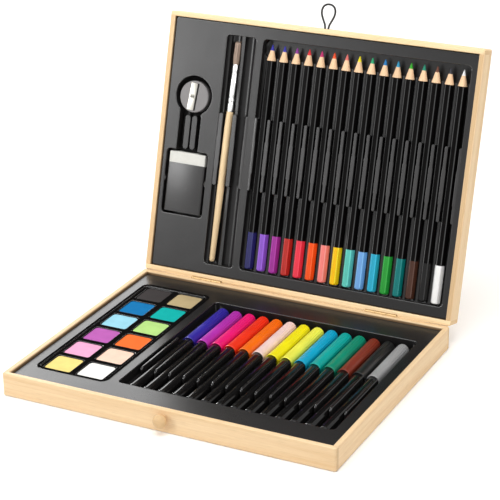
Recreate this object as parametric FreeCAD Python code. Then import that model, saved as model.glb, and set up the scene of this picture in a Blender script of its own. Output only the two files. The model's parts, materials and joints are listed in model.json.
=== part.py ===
import FreeCAD, Part

import math
import os

# A wooden colouring case.  The base holds a paint set and a row of felt-tip markers.  The
# hinged lid stands open on its stops and holds pencils, a brush, a sharpener and an eraser.
# Frame: millimetres, +Z up, +Y towards the hinges.  The origin is the centre of the base's
# underside.  Each half is drawn flat on its outer panel, open side up, with its hinge edge
# at +Y for the base and at -Y for the lid.  LID_PLACEMENT then stands the lid up.

# ---- Case boards ----
WALL = 4.0                  # thickness of the side boards
PANEL = 3.0                 # thickness of the base and lid panels
RABBET = 2.0                # how far a panel is let into the boards
EDGE_ROUND = 0.8            # sanded edge of the boards
CORNER_ROUND = 1.6          # sanded outer corner of the frame
INSET = 2.2                 # rim of a half down to the face of its insert
SIDE_MARGIN = 4.5           # board to the outermost well of the lid, left and right
END_MARGIN = 9.15           # board to the pencil well, front and back
LID_OPEN_DEG = 105.6        # how far the lid opens before its hinge stops meet
RIM_GAP = 0.2               # gap between the two rims when the lid is closed
GLUE_GAP = 0.03             # around a glued or driven round peg

# ---- Formed plastic inserts ----
SHEET = 0.8                 # sheet thickness
INSERT_GAP = 0.4            # insert edge to the boards
INSERT_LIP = 2.0            # depth of the turned-down edge
INSERT_CORNER = 1.5
WELL_CORNER = 3.0
WELL_GAP = 5.9              # land between two wells of the lid
RIDGE_DROP = 0.7            # top of a ridge between channels, below the channel axis
NUB_SINK = 0.2              # top of a grip nub, below the face of the insert
NUB_AT_WALL = 0.9           # shift of a pencil well's end nub towards the side of the well
NUB_ROUND = 0.35
NUB_WIDE_FROM = 0.22        # the nub's wide stretch, as parts of its length
NUB_WIDE_TO = 0.70
LOOSE = 0.25                # clearance round what lifts out

# ---- Felt-tip markers ----
MARKER_COLOURS = ("indigo", "purple", "pink", "red", "orange", "peach", "yellow", "lemon",
                  "cyan", "teal", "green", "brown", "black", "grey")
MARKER_PITCH = 11.5
MARKER_SINK = 1.35          # top of a cap, below the face of the insert
MARKER_SHIFT = -1.3         # middle of the marker well, from the middle of the case
CAP_LENGTH = 58.0
CAP_RADIUS = 5.0
CAP_WALL = 0.9
CAP_ROUND = 1.6
BARREL_RADIUS = 4.4
BARREL_LENGTH = 85.5        # the part of the barrel below the cap
BARREL_ROUND = 0.8
NECK_LENGTH = 12.0          # neck of the barrel inside the cap
NECK_PLAY = 0.05
SECTION_RADIUS = 3.1
SECTION_LENGTH = 16.0
NIB_RADIUS = 1.1
NIB_LENGTH = 6.0
MARKER_END_GAP = 3.0        # barrel end to the end of its channel
CAP_END_GAP = 4.8           # cap end to the end of its channel
MARKER_SIDE = 9.35          # axis of the outermost marker to the side of the well
MARKER_NUB_WIDE = 2.3
MARKER_NUB_NARROW = 1.9
MARKER_NUB_ROUND = 0.8
MARKER_NUB_START = 27.0     # from the barrel end of the well
MARKER_NUB_LENGTH = 56.0

# ---- Paint set ----
PAINT_GAP = 8.5             # land between the paint well and the marker well
TABLET = 21.7               # side of a square paint tablet
TABLET_COLUMNS = 2
TABLET_ROWS = 6
TABLET_PITCH_X = 27.3
TABLET_PITCH_Y = 26.7
TABLET_THICK = 3.0
TABLET_SINK = 0.5           # top of a tablet, below the field of the tray
TABLET_CORNER = 1.2
TABLET_PLAY = 0.1           # tablet to the side of its pocket
TRAY_HEIGHT = 6.0
TRAY_BORDER = 4.1           # tray edge to the outermost tablets, left and right
TRAY_BORDER_END = 2.9       # tray edge to the outermost tablets, front and back
TRAY_LIP = 1.2              # width of the raised lip round the tray
TRAY_LIP_HEIGHT = 0.4
TRAY_SINK = 0.3             # top of the lip, below the face of the insert
TRAY_CORNER = 5.0

# ---- Pencils ----
PENCIL_COLOURS = ("navy", "violet", "magenta", "crimson", "rose", "orange", "salmon",
                  "yellow", "aqua", "sky", "cyan", "green", "teal", "brown", "black", "white")
PENCIL_PITCH = 10.5
PENCIL_LENGTH = 177.0
PENCIL_FLATS = 6.8          # across the flats of the hexagon
PENCIL_EDGE_ROUND = 1.2
PENCIL_END_ROUND = 0.9
PENCIL_SINK = 0.6           # top flat of a pencil, below the face of the insert
POINT_LENGTH = 13.0         # sharpened cone
POINT_RADIUS = 0.45         # blunted tip
LEAD_RADIUS = 1.35
PENCIL_CHANNEL = 4.15       # channel radius
PENCIL_END_GAP = 1.2        # dipped end to the end of the well
PENCIL_TIP_GAP = 3.5        # point to the end of the well
PENCIL_SIDE = 6.6           # axis of the outermost pencil to the side of the well
PENCIL_NUB_WIDE = 2.6
PENCIL_NUB_NARROW = 2.0
PENCIL_NUB_START = 63.0     # from the hinge end of the well
PENCIL_NUB_LENGTH = 57.4
TIP_ZONE = 14.0             # level floor under the sharpened cones
LID_WELL_SHIFT = -0.35      # middle of the long wells, from the middle of the lid
LID_CONTENT_SHIFT = -0.75   # middle of all that the lid's insert holds, from the middle of the lid

# ---- Brush ----
BRUSH_CHANNEL = 4.6         # radius of the brush channel and of the spare one beside it
BRUSH_PITCH = 12.1          # between the two channels
BRUSH_SIDE_LEFT = 7.05      # axis of the brush's channel to the left side of the well
BRUSH_SIDE_RIGHT = 6.65     # axis of the spare channel to the right side of the well
BRUSH_SINK = 0.8            # top of the handle, below the face of the insert
BRUSH_TILT_DEG = 1.0
BRUSH_END_GAP = 1.4         # handle end to the end of the well
BRUSH_TIP_GAP = 1.5         # least room beyond the hair
BRUSH_NUB_WIDE = 3.2
BRUSH_NUB_NARROW = 2.8
BRUSH_NUB_PLACES = (-5.2, 6.75, 17.9)   # nubs, from the axis of the brush's channel
HANDLE_LENGTH = 120.6
HANDLE_RADIUS = 3.1
HANDLE_END_RADIUS = 2.1
HANDLE_SHOULDER = 12.0      # taper from the widest part of the handle to the ferrule
FERRULE_LENGTH = 37.3
FERRULE_RADIUS = 2.8
FERRULE_TIP_RADIUS = 2.4
FERRULE_WALL = 0.25
FERRULE_GRIP = 10.0         # handle spigot and hair root inside the ferrule
BRISTLE_LENGTH = 18.7
BRISTLE_BELLY = 2.65
BRISTLE_TIP_RADIUS = 2.4

# ---- Eraser ----
ERASER_WIDTH = 32.0
ERASER_LENGTH = 47.9
ERASER_THICK = 9.3
ERASER_ROUND = 1.0
ERASER_BARE = 9.0           # white end left showing
ERASER_SINK = 0.4
SLEEVE_WALL = 0.4
SLEEVE_PLAY = 0.05          # sleeve to rubber
ERASER_RECESS_GAP = 1.9     # recess side to the sleeve
ERASER_SHIFT = -30.45       # middle of the recess, from the middle of the lid
GRIP_BUMP = 1.2             # how far a grip bump stands out of the recess side
GRIP_BUMP_RADIUS = 3.4
GRIP_BUMP_SHIFT = 1.55      # grip bumps, from the middle of the recess

# ---- Sharpener ----
SHARPENER_RADIUS = 12.6
SHARPENER_THICK = 9.0
SHARPENER_SINK = 0.6
SHARPENER_ROUND = 0.7
SHARPENER_STEP = 6.0        # depth of the wide part of its recess
SHARPENER_STEP_RADIUS = 15.85
SHARPENER_SHIFT = 39.3      # recess centre, from the middle of the lid
SHARPENER_DROP = 0.7        # sharpener's seat, from the recess centre towards the hinges
SHARPENER_ASIDE = 0.55      # recess centre, to the right of the middle of the eraser
BLADE_LENGTH = 21.6
BLADE_WIDTH = 5.4
BLADE_THICK = 0.6
BLADE_PROUD = 0.1           # blade above the sharpener's face
BLADE_TILT_DEG = -5.4
BLADE_SHIFT = -1.7          # blade centre, from the middle of the sharpener
BLADE_PLAY = 0.1
SHAVING_SLOT = 1.6
HOLE_RADIUS = 4.0           # mouth of the pencil hole
HOLE_TIP_RADIUS = 0.9
HOLE_LENGTH = 22.0
HOLE_DROP = 4.7             # axis of the pencil hole, below the sharpener's face
BLADE_SCREW_RADIUS = 0.9
BLADE_SCREW_LENGTH = 2.6
BLADE_SCREW_HEAD = 1.7
BLADE_SCREW_HEAD_HEIGHT = 0.5

# ---- Finger groove between sharpener and eraser ----
GROOVE_WIDTH = 19.0
GROOVE_ASIDE = -0.85        # middle of the groove, from the middle of the eraser
GROOVE_DEPTH = 8.0
GROOVE_RIB = 4.8
GROOVE_RIB_PITCH = 6.0
GROOVE_RIB_HEIGHT = 5.5
GROOVE_RIBS = 2

# ---- Closure: turned knob and elastic loop ----
KNOB_RADIUS = 5.1
KNOB_LENGTH = 7.5           # out of the front board
KNOB_NECK_RADIUS = 3.3
KNOB_NECK_LENGTH = 1.8
KNOB_ROUND = 2.0
KNOB_HEIGHT = 10.0          # axis above the underside
SPIGOT_RADIUS = 2.5
CORD_DIAMETER = 1.6
CORD_SPREAD = 2.3           # between the two ends of the loop
CORD_HOLE_GAP = 0.1
KNOT_LENGTH = 3.4
KNOT_RADIUS = 2.9
# Half of the loop's route: away from its middle line, and out from the board.
LOOP_HALF_ROUTE = ((1.15, 2.0), (3.7, 6.8), (5.8, 11.6), (5.3, 16.2), (2.4, 18.8))

# ---- Hinges ----
HINGE_SPACING = 150.0
HINGE_WIDTH = 26.0
LEAF_THICK = 0.8
LEAF_HEIGHT = 11.0
KNUCKLE_RADIUS = 1.2
KNUCKLE_MIDDLE = 9.0        # length of the lid's knuckle
KNUCKLE_GAP = 0.2
KNUCKLE_LET_IN = 0.2        # clearance of the knuckles in the boards
PIN_RADIUS = 0.6
PIN_FIT = 0.05              # running clearance on the radius
STOP_WIDTH = 4.0
STOP_REACH = 4.2
STOP_ROOT = 0.5             # top of the stop tab, below the hinge axis
STOP_GAP = 0.03
SCREW_SPACING = 16.0
SCREW_DROP = 7.6            # screw below the rim
SCREW_RADIUS = 1.0
SCREW_LENGTH = 3.6          # under the head
SCREW_HEAD_RADIUS = 1.9
SCREW_HEAD_HEIGHT = 0.9
SCREW_HEAD_ROUND = 0.6
DRIVE_WIDTH = 0.5
DRIVE_DEPTH = 0.45

# ---- Sizes worked out from the ones above ----
PENCIL_WELL_WIDTH = (len(PENCIL_COLOURS) - 1) * PENCIL_PITCH + 2 * PENCIL_SIDE
BRUSH_LENGTH = HANDLE_LENGTH + FERRULE_LENGTH + BRISTLE_LENGTH
LID_WELL_LENGTH = max(PENCIL_LENGTH + PENCIL_END_GAP + PENCIL_TIP_GAP,
                      BRUSH_LENGTH + BRUSH_END_GAP + BRUSH_TIP_GAP)
BRUSH_WELL_WIDTH = BRUSH_PITCH + BRUSH_SIDE_LEFT + BRUSH_SIDE_RIGHT
SLEEVE_WIDTH = ERASER_WIDTH + 2 * (SLEEVE_WALL + SLEEVE_PLAY)
SLEEVE_THICK = ERASER_THICK + 2 * (SLEEVE_WALL + SLEEVE_PLAY)
ERASER_RECESS_WIDTH = SLEEVE_WIDTH + 2 * ERASER_RECESS_GAP
ERASER_RECESS_LENGTH = ERASER_LENGTH + 2 * ERASER_RECESS_GAP
LID_CONTENT = ERASER_RECESS_WIDTH + BRUSH_WELL_WIDTH + PENCIL_WELL_WIDTH + 2 * WELL_GAP

MARKER_CHANNEL = CAP_RADIUS + LOOSE
MARKER_WELL_WIDTH = (len(MARKER_COLOURS) - 1) * MARKER_PITCH + 2 * MARKER_SIDE
MARKER_WELL_LENGTH = BARREL_LENGTH + CAP_LENGTH + MARKER_END_GAP + CAP_END_GAP
TRAY_WIDTH = (TABLET_COLUMNS - 1) * TABLET_PITCH_X + TABLET + 2 * TRAY_BORDER
TRAY_LENGTH = (TABLET_ROWS - 1) * TABLET_PITCH_Y + TABLET + 2 * TRAY_BORDER_END
PAINT_WELL_WIDTH = TRAY_WIDTH + 2 * LOOSE
PAINT_WELL_LENGTH = TRAY_LENGTH + 2 * LOOSE
BASE_CONTENT = PAINT_WELL_WIDTH + PAINT_GAP + MARKER_WELL_WIDTH

INNER_WIDTH = max(LID_CONTENT, BASE_CONTENT) + 2 * SIDE_MARGIN
INNER_DEPTH = max(LID_WELL_LENGTH, PAINT_WELL_LENGTH, MARKER_WELL_LENGTH) + 2 * END_MARGIN
CASE_WIDTH = INNER_WIDTH + 2 * WALL
CASE_DEPTH = INNER_DEPTH + 2 * WALL
HALF_DEPTH = CASE_DEPTH / 2

MARKER_AXIS_Z = PANEL + SHEET + MARKER_CHANNEL
BASE_FACE = MARKER_AXIS_Z + CAP_RADIUS + MARKER_SINK
BASE_HEIGHT = BASE_FACE + INSET
LID_FACE = PANEL + SHEET + LOOSE + SLEEVE_THICK + ERASER_SINK
LID_HEIGHT = LID_FACE + INSET
PENCIL_AXIS_Z = LID_FACE - PENCIL_SINK - PENCIL_FLATS / 2
BRUSH_AXIS_Z = LID_FACE - BRUSH_SINK - HANDLE_RADIUS
BRUSH_CHANNEL_Z = BRUSH_AXIS_Z - HANDLE_RADIUS - LOOSE + BRUSH_CHANNEL
CORD_Z = LID_HEIGHT / 2

PAINT_X = -BASE_CONTENT / 2 + PAINT_WELL_WIDTH / 2
MARKER_X = BASE_CONTENT / 2 - MARKER_WELL_WIDTH / 2
MARKER_Y0 = MARKER_SHIFT - MARKER_WELL_LENGTH / 2
MARKER_Y1 = MARKER_SHIFT + MARKER_WELL_LENGTH / 2
TOOL_X = LID_CONTENT_SHIFT - LID_CONTENT / 2 + ERASER_RECESS_WIDTH / 2
SHARPENER_X = TOOL_X + SHARPENER_ASIDE
GROOVE_X = TOOL_X + GROOVE_ASIDE
BRUSH_WELL_X = TOOL_X + ERASER_RECESS_WIDTH / 2 + WELL_GAP + BRUSH_WELL_WIDTH / 2
BRUSH_X = BRUSH_WELL_X - BRUSH_WELL_WIDTH / 2 + BRUSH_SIDE_LEFT
PENCIL_X = LID_CONTENT_SHIFT + LID_CONTENT / 2 - PENCIL_WELL_WIDTH / 2
LID_WELL_Y0 = LID_WELL_SHIFT - LID_WELL_LENGTH / 2
LID_WELL_Y1 = LID_WELL_SHIFT + LID_WELL_LENGTH / 2

HINGE_PLACES = (-HINGE_SPACING / 2, HINGE_SPACING / 2)
BASE_HINGE = FreeCAD.Vector(0, HALF_DEPTH, BASE_HEIGHT + RIM_GAP / 2)
LID_HINGE = FreeCAD.Vector(0, -HALF_DEPTH, LID_HEIGHT + RIM_GAP / 2)
LID_TURN = FreeCAD.Rotation(FreeCAD.Vector(1, 0, 0), 180 - LID_OPEN_DEG)
LID_PLACEMENT = FreeCAD.Placement(BASE_HINGE - LID_TURN.multVec(LID_HINGE), LID_TURN)

Y_AXIS = FreeCAD.Vector(0, 1, 0)
Z_AXIS = FreeCAD.Vector(0, 0, 1)
PAST = 2.0                  # a cutting tool runs this far past the face that it opens


# ---- Shape helpers ----

def block(x0, x1, y0, y1, z0, z1):
    """Box between three pairs of limits."""
    return Part.makeBox(x1 - x0, y1 - y0, z1 - z0, FreeCAD.Vector(x0, y0, z0))


def edges_along(shape, axis):
    """Straight edges that run along an axis."""
    return [e for e in shape.Edges
            if isinstance(e.Curve, Part.Line) and abs(e.Curve.Direction.dot(axis)) > 0.999]


def edges_at(shape, height):
    """Edges that lie in the level plane at a height."""
    return [e for e in shape.Edges
            if abs(e.BoundBox.ZMin - height) < 1e-4 and abs(e.BoundBox.ZMax - height) < 1e-4]


def pad(x, y, width, length, z0, z1, corner):
    """Block centred on x and y, with rounded upright corners."""
    shape = block(x - width / 2, x + width / 2, y - length / 2, y + length / 2, z0, z1)
    return shape.makeFillet(corner, edges_along(shape, Z_AXIS))


def rod(radius, x, y, z, length, axis=Z_AXIS):
    """Cylinder from a start point along an axis."""
    return Part.makeCylinder(radius, length, FreeCAD.Vector(x, y, z), axis)


def turned(profile):
    """Solid of revolution about +Y, from (distance along, radius) pairs."""
    points = [FreeCAD.Vector(radius, along, 0) for along, radius in profile]
    points += [FreeCAD.Vector(0, profile[-1][0], 0), FreeCAD.Vector(0, profile[0][0], 0)]
    face = Part.Face(Part.makePolygon(points + [points[0]]))
    return face.revolve(FreeCAD.Vector(0, 0, 0), Y_AXIS, 360)


def moved(shape, x, y, z, turn_deg=0.0):
    """Copy of a shape, turned about +Z through the origin and then shifted."""
    placement = FreeCAD.Placement(FreeCAD.Vector(x, y, z), FreeCAD.Rotation(Z_AXIS, turn_deg))
    return shape.transformed(placement.Matrix, copy=True)


def on_lid(shape):
    """Copy of a shape drawn in the flat lid, standing where the open lid holds it."""
    return shape.transformed(LID_PLACEMENT.Matrix, copy=True)


def spread(middle, pitch, count):
    """Evenly spaced places centred on a middle."""
    return [middle + pitch * (i - (count - 1) / 2) for i in range(count)]


def bar(x, y0, y1, width, z0, z1, rounding=NUB_ROUND):
    """Bar along Y with round ends and a softened top."""
    radius = width / 2
    shape = pad(x, (y0 + y1) / 2, width, y1 - y0, z0, z1, 0.995 * radius)
    return shape.makeFillet(min(rounding, 0.8 * radius), edges_at(shape, z1))


def nub(x, y0, length, narrow, wide, z0, z1, rounding=NUB_ROUND):
    """Grip nub between two channels: a narrow bar with a wider middle."""
    middle = bar(x, y0 + NUB_WIDE_FROM * length, y0 + NUB_WIDE_TO * length, wide, z0, z1, rounding)
    return bar(x, y0, y0 + length, narrow, z0, z1, rounding).fuse(middle)


# ---- Case boards ----

def case_half(height, hinge_side):
    """Front, back, left and right boards and the panel of one half, open side up."""
    reach = CASE_WIDTH + CASE_DEPTH
    half_x, half_y = INNER_WIDTH / 2, INNER_DEPTH / 2
    frame = pad(0, 0, CASE_WIDTH, CASE_DEPTH, 0, height, CORNER_ROUND)
    frame = frame.makeFillet(EDGE_ROUND, edges_at(frame, 0) + edges_at(frame, height))
    frame = frame.cut(block(-half_x, half_x, -half_y, half_y, -PAST, height + PAST))
    inner_rim = [e for e in edges_at(frame, height)
                 if abs(e.CenterOfMass.x) < half_x + 1e-4 and abs(e.CenterOfMass.y) < half_y + 1e-4]
    frame = frame.makeFillet(EDGE_ROUND, inner_rim)
    panel = block(-half_x - RABBET, half_x + RABBET, -half_y - RABBET, half_y + RABBET, 0, PANEL)
    frame = frame.cut(panel)
    beyond = block(-reach, reach, half_y, reach, 0, height)
    before = block(-reach, reach, -reach, -half_y, 0, height)
    front, back = (before, beyond) if hinge_side > 0 else (beyond, before)
    left = block(-reach, 0, -half_y, half_y, 0, height)
    right = block(0, reach, -half_y, half_y, 0, height)
    boards = [frame.common(part) for part in (front, back, left, right)]
    return boards + [panel]


def screw_places(height, hinge_side):
    """Where the hinge screws enter the back board, on its outer face."""
    return [FreeCAD.Vector(x + dx, hinge_side * HALF_DEPTH, height - SCREW_DROP)
            for x in HINGE_PLACES for dx in (-SCREW_SPACING / 2, SCREW_SPACING / 2)]


def drilled(board, places, height, hinge_side):
    """Back board with room for the knuckles and a blind pilot hole for each hinge screw."""
    depth = SCREW_LENGTH - LEAF_THICK
    half = HINGE_WIDTH / 2 + KNUCKLE_LET_IN
    notches = [rod(KNUCKLE_RADIUS + KNUCKLE_LET_IN, x - half, hinge_side * HALF_DEPTH,
                   height + RIM_GAP / 2, 2 * half, FreeCAD.Vector(1, 0, 0)) for x in HINGE_PLACES]
    holes = [Part.makeCylinder(SCREW_RADIUS + GLUE_GAP, depth + GLUE_GAP, place,
                               Y_AXIS * -hinge_side) for place in places]
    return board.cut(notches + holes)


# ---- Hinges ----

def hinge_leaf(centre, height, hinge_side, knuckles):
    """Screw-on leaf with its knuckles, for a half that lies open side up."""
    axis_y = hinge_side * HALF_DEPTH
    axis_z = height + RIM_GAP / 2
    y0, y1 = sorted((hinge_side * HALF_DEPTH, hinge_side * (HALF_DEPTH + LEAF_THICK)))
    top = axis_z - KNUCKLE_RADIUS - KNUCKLE_GAP
    leaf = block(centre - HINGE_WIDTH / 2, centre + HINGE_WIDTH / 2, y0, y1, height - LEAF_HEIGHT, top)
    for x0, x1 in knuckles:
        riser = block(centre + x0, centre + x1, y0, y1, top - KNUCKLE_GAP, axis_z)
        knuckle = rod(KNUCKLE_RADIUS, centre + x0, axis_y, axis_z, x1 - x0, FreeCAD.Vector(1, 0, 0))
        leaf = leaf.fuse([riser, knuckle])
    holes = [Part.makeCylinder(SCREW_RADIUS + GLUE_GAP, 4 * LEAF_THICK,
                               place - Y_AXIS * (hinge_side * LEAF_THICK), Y_AXIS * hinge_side)
             for place in screw_places(height, hinge_side) if abs(place.x - centre) < HINGE_WIDTH / 2]
    return leaf.cut(holes + [pin_bore(centre, axis_y, axis_z)]).removeSplitter()


def pin_bore(centre, axis_y, axis_z):
    """Tool that opens a leaf for the pin."""
    return rod(PIN_RADIUS + PIN_FIT, centre - HINGE_WIDTH, axis_y, axis_z, 2 * HINGE_WIDTH,
               FreeCAD.Vector(1, 0, 0))


def stop_tab(centre):
    """Tab on the lid's leaf that meets the base leaf when the lid is fully open."""
    y0 = HALF_DEPTH + LEAF_THICK + STOP_GAP
    return block(centre - STOP_WIDTH / 2, centre + STOP_WIDTH / 2, y0, y0 + LEAF_THICK,
                 BASE_HINGE.z - STOP_REACH, BASE_HINGE.z - STOP_ROOT)


def hinge_pieces():
    """Base leaves, lid leaves and pins, where they are with the lid open."""
    side = HINGE_WIDTH / 2
    middle = KNUCKLE_MIDDLE / 2
    outer_knuckles = ((-side, -middle - KNUCKLE_GAP), (middle + KNUCKLE_GAP, side))
    base_leaves = [hinge_leaf(c, BASE_HEIGHT, 1, outer_knuckles) for c in HINGE_PLACES]
    lid_leaves = []
    for centre in HINGE_PLACES:
        leaf = on_lid(hinge_leaf(centre, LID_HEIGHT, -1, ((-middle, middle),)))
        bore = pin_bore(centre, BASE_HINGE.y, BASE_HINGE.z)
        lid_leaves.append(leaf.fuse(stop_tab(centre)).cut(bore).removeSplitter())
    pins = [rod(PIN_RADIUS, c - side, BASE_HINGE.y, BASE_HINGE.z, HINGE_WIDTH,
                FreeCAD.Vector(1, 0, 0)) for c in HINGE_PLACES]
    return base_leaves, lid_leaves, pins


def hinge_screw(place, hinge_side):
    """Round-head screw with a cross drive, driven into a back board."""
    outward = Y_AXIS * hinge_side
    seat = place + outward * LEAF_THICK
    head = Part.makeCylinder(SCREW_HEAD_RADIUS, SCREW_HEAD_HEIGHT, seat, outward)
    face_y = seat.y + hinge_side * SCREW_HEAD_HEIGHT
    rim = [e for e in head.Edges if abs(e.BoundBox.YMin - face_y) < 1e-4
           and abs(e.BoundBox.YMax - face_y) < 1e-4]
    head = head.makeFillet(SCREW_HEAD_ROUND, rim)
    shank = Part.makeCylinder(SCREW_RADIUS, SCREW_LENGTH, seat, outward * -1)
    arm, half = SCREW_HEAD_RADIUS * 0.6, DRIVE_WIDTH / 2
    y0, y1 = sorted((face_y - hinge_side * DRIVE_DEPTH, face_y + hinge_side * PAST))
    slots = [block(seat.x - dx, seat.x + dx, y0, y1, seat.z - dz, seat.z + dz)
             for dx, dz in ((arm, half), (half, arm))]
    return head.fuse(shank).cut(slots)


# ---- Closure ----

def closure_knob():
    """Turned knob with its spigot, on the front board of the base."""
    head_start = WALL + KNOB_NECK_LENGTH
    head_length = KNOB_LENGTH - KNOB_NECK_LENGTH
    head = rod(KNOB_RADIUS, 0, head_start, 0, head_length, Y_AXIS)
    head = head.makeFillet(KNOB_ROUND, [e for e in head.Edges if not isinstance(e.Curve, Part.Line)])
    spigot = rod(SPIGOT_RADIUS - GLUE_GAP, 0, GLUE_GAP, 0, WALL, Y_AXIS)
    neck = rod(KNOB_NECK_RADIUS, 0, WALL, 0, KNOB_NECK_LENGTH + KNOB_ROUND, Y_AXIS)
    knob = head.fuse([neck, spigot]).removeSplitter()
    return moved(knob, 0, -HALF_DEPTH + WALL, KNOB_HEIGHT, 180)


def cord_path(points):
    """Straight runs joined by tangent arcs, as large as their runs allow."""
    edges, radii = [], []
    start = points[0]
    for before, corner, after in zip(points, points[1:], points[2:]):
        run_in, run_out = corner - before, after - corner
        cut_back = 0.45 * min(run_in.Length, run_out.Length)
        half_turn = run_in.getAngle(run_out) / 2
        radii.append(cut_back / math.tan(half_turn))
        enter = corner - run_in * (cut_back / run_in.Length)
        leave = corner + run_out * (cut_back / run_out.Length)
        bisector = (enter + leave) * 0.5 - corner
        to_centre = radii[-1] / math.cos(half_turn)
        centre = corner + bisector * (to_centre / bisector.Length)
        middle = centre - bisector * (radii[-1] / bisector.Length)
        edges += [Part.LineSegment(start, enter).toShape(), Part.Arc(enter, middle, leave).toShape()]
        start = leave
    edges.append(Part.LineSegment(start, points[-1]).toShape())
    return Part.Wire(edges), radii


def loop_route():
    """Points of the elastic loop in the flat lid, from knot to knot."""
    face = HALF_DEPTH
    right = [FreeCAD.Vector(CORD_SPREAD / 2, face - WALL, CORD_Z)]
    right += [FreeCAD.Vector(x, face + y, CORD_Z) for x, y in LOOP_HALF_ROUTE]
    left = [FreeCAD.Vector(-p.x, p.y, p.z) for p in reversed(right)]
    return right + left


def elastic_loop():
    """Elastic cord of the closure, through the lid's front board and back."""
    wire, radii = cord_path(loop_route())
    section = Part.Wire(Part.Circle(loop_route()[0], Y_AXIS, CORD_DIAMETER / 2).toShape())
    cord = wire.makePipeShell([section], True, True)
    expected = wire.Length * math.pi * CORD_DIAMETER ** 2 / 4
    print("loop length %.1f, radii %s" % (wire.Length, ", ".join("%.1f" % r for r in radii)))
    print("loop volume %.2f, section times length %.2f" % (cord.Volume, expected))
    return cord


def elastic_knot():
    """Knot behind the lid's front board, where both ends of the loop finish."""
    knot = rod(KNOT_RADIUS, 0, INNER_DEPTH / 2 - KNOT_LENGTH, CORD_Z, KNOT_LENGTH, Y_AXIS)
    rims = [e for e in knot.Edges if not isinstance(e.Curve, Part.Line)]
    far = [e for e in rims if e.BoundBox.YMax < INNER_DEPTH / 2 - KNOT_LENGTH / 2]
    return knot.makeFillet(KNOT_RADIUS * 0.45, far)


# ---- Formed inserts ----

def channels(axes, y0, y1, radius, axis_z, top):
    """Tools for open channels with round bottoms."""
    tools = []
    for x in axes:
        tools.append(rod(radius, x, y0, axis_z, y1 - y0, Y_AXIS))
        tools.append(block(x - radius, x + radius, y0, y1, axis_z, top))
    return tools


def relief(axes, x0, x1, y0, y1, radius, axis_z):
    """Hollow under the ridges between channels, one sheet thickness away from them."""
    hollow = block(x0, x1, y0, y1, axis_z - radius - SHEET - PAST, axis_z - RIDGE_DROP - SHEET)
    return hollow.cut([rod(radius + SHEET, x, y0, axis_z, y1 - y0, Y_AXIS) for x in axes])


def insert_plate(face):
    """Flat face of an insert with its turned-down edge."""
    width, length = INNER_WIDTH - 2 * INSERT_GAP, INNER_DEPTH - 2 * INSERT_GAP
    skin = pad(0, 0, width, length, face - INSERT_LIP, face, INSERT_CORNER)
    under = pad(0, 0, width - 2 * SHEET, length - 2 * SHEET, face - INSERT_LIP - PAST,
                face - SHEET, INSERT_CORNER - SHEET / 2)
    return skin.cut(under)


def pod(x, y, width, length, floor, face, corner):
    """Outside of a well whose inside has the given size and floor."""
    return pad(x, y, width + 2 * SHEET, length + 2 * SHEET, floor - SHEET, face, corner + SHEET)


def base_insert():
    """Insert with the paint well and the marker well."""
    top = BASE_FACE + PAST
    axes = spread(MARKER_X, MARKER_PITCH, len(MARKER_COLOURS))
    x0, x1 = MARKER_X - MARKER_WELL_WIDTH / 2, MARKER_X + MARKER_WELL_WIDTH / 2
    paint_floor = BASE_FACE - TRAY_SINK - TRAY_HEIGHT - LOOSE
    shell = insert_plate(BASE_FACE).fuse([
        pod(PAINT_X, 0, PAINT_WELL_WIDTH, PAINT_WELL_LENGTH, paint_floor, BASE_FACE, TRAY_CORNER),
        pod(MARKER_X, MARKER_SHIFT, MARKER_WELL_WIDTH, MARKER_WELL_LENGTH,
            MARKER_AXIS_Z - MARKER_CHANNEL, BASE_FACE, WELL_CORNER)])
    cuts = [pad(PAINT_X, 0, PAINT_WELL_WIDTH, PAINT_WELL_LENGTH, paint_floor, top, TRAY_CORNER),
            pad(MARKER_X, MARKER_SHIFT, MARKER_WELL_WIDTH, MARKER_WELL_LENGTH,
                MARKER_AXIS_Z - RIDGE_DROP, top, WELL_CORNER)]
    cuts += channels(axes, MARKER_Y0, MARKER_Y1, MARKER_CHANNEL, MARKER_AXIS_Z, top)
    cuts.append(relief(axes, x0, x1, MARKER_Y0, MARKER_Y1, MARKER_CHANNEL, MARKER_AXIS_Z))
    shell = shell.cut(cuts)
    ridge = MARKER_AXIS_Z - RIDGE_DROP
    nubs = [nub(x, MARKER_Y0 + MARKER_NUB_START, MARKER_NUB_LENGTH, MARKER_NUB_NARROW,
                MARKER_NUB_WIDE, ridge - SHEET / 2, BASE_FACE - NUB_SINK, MARKER_NUB_ROUND)
            for x in spread(MARKER_X, MARKER_PITCH, len(MARKER_COLOURS) + 1)]
    return shell.fuse(nubs).removeSplitter()


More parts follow.
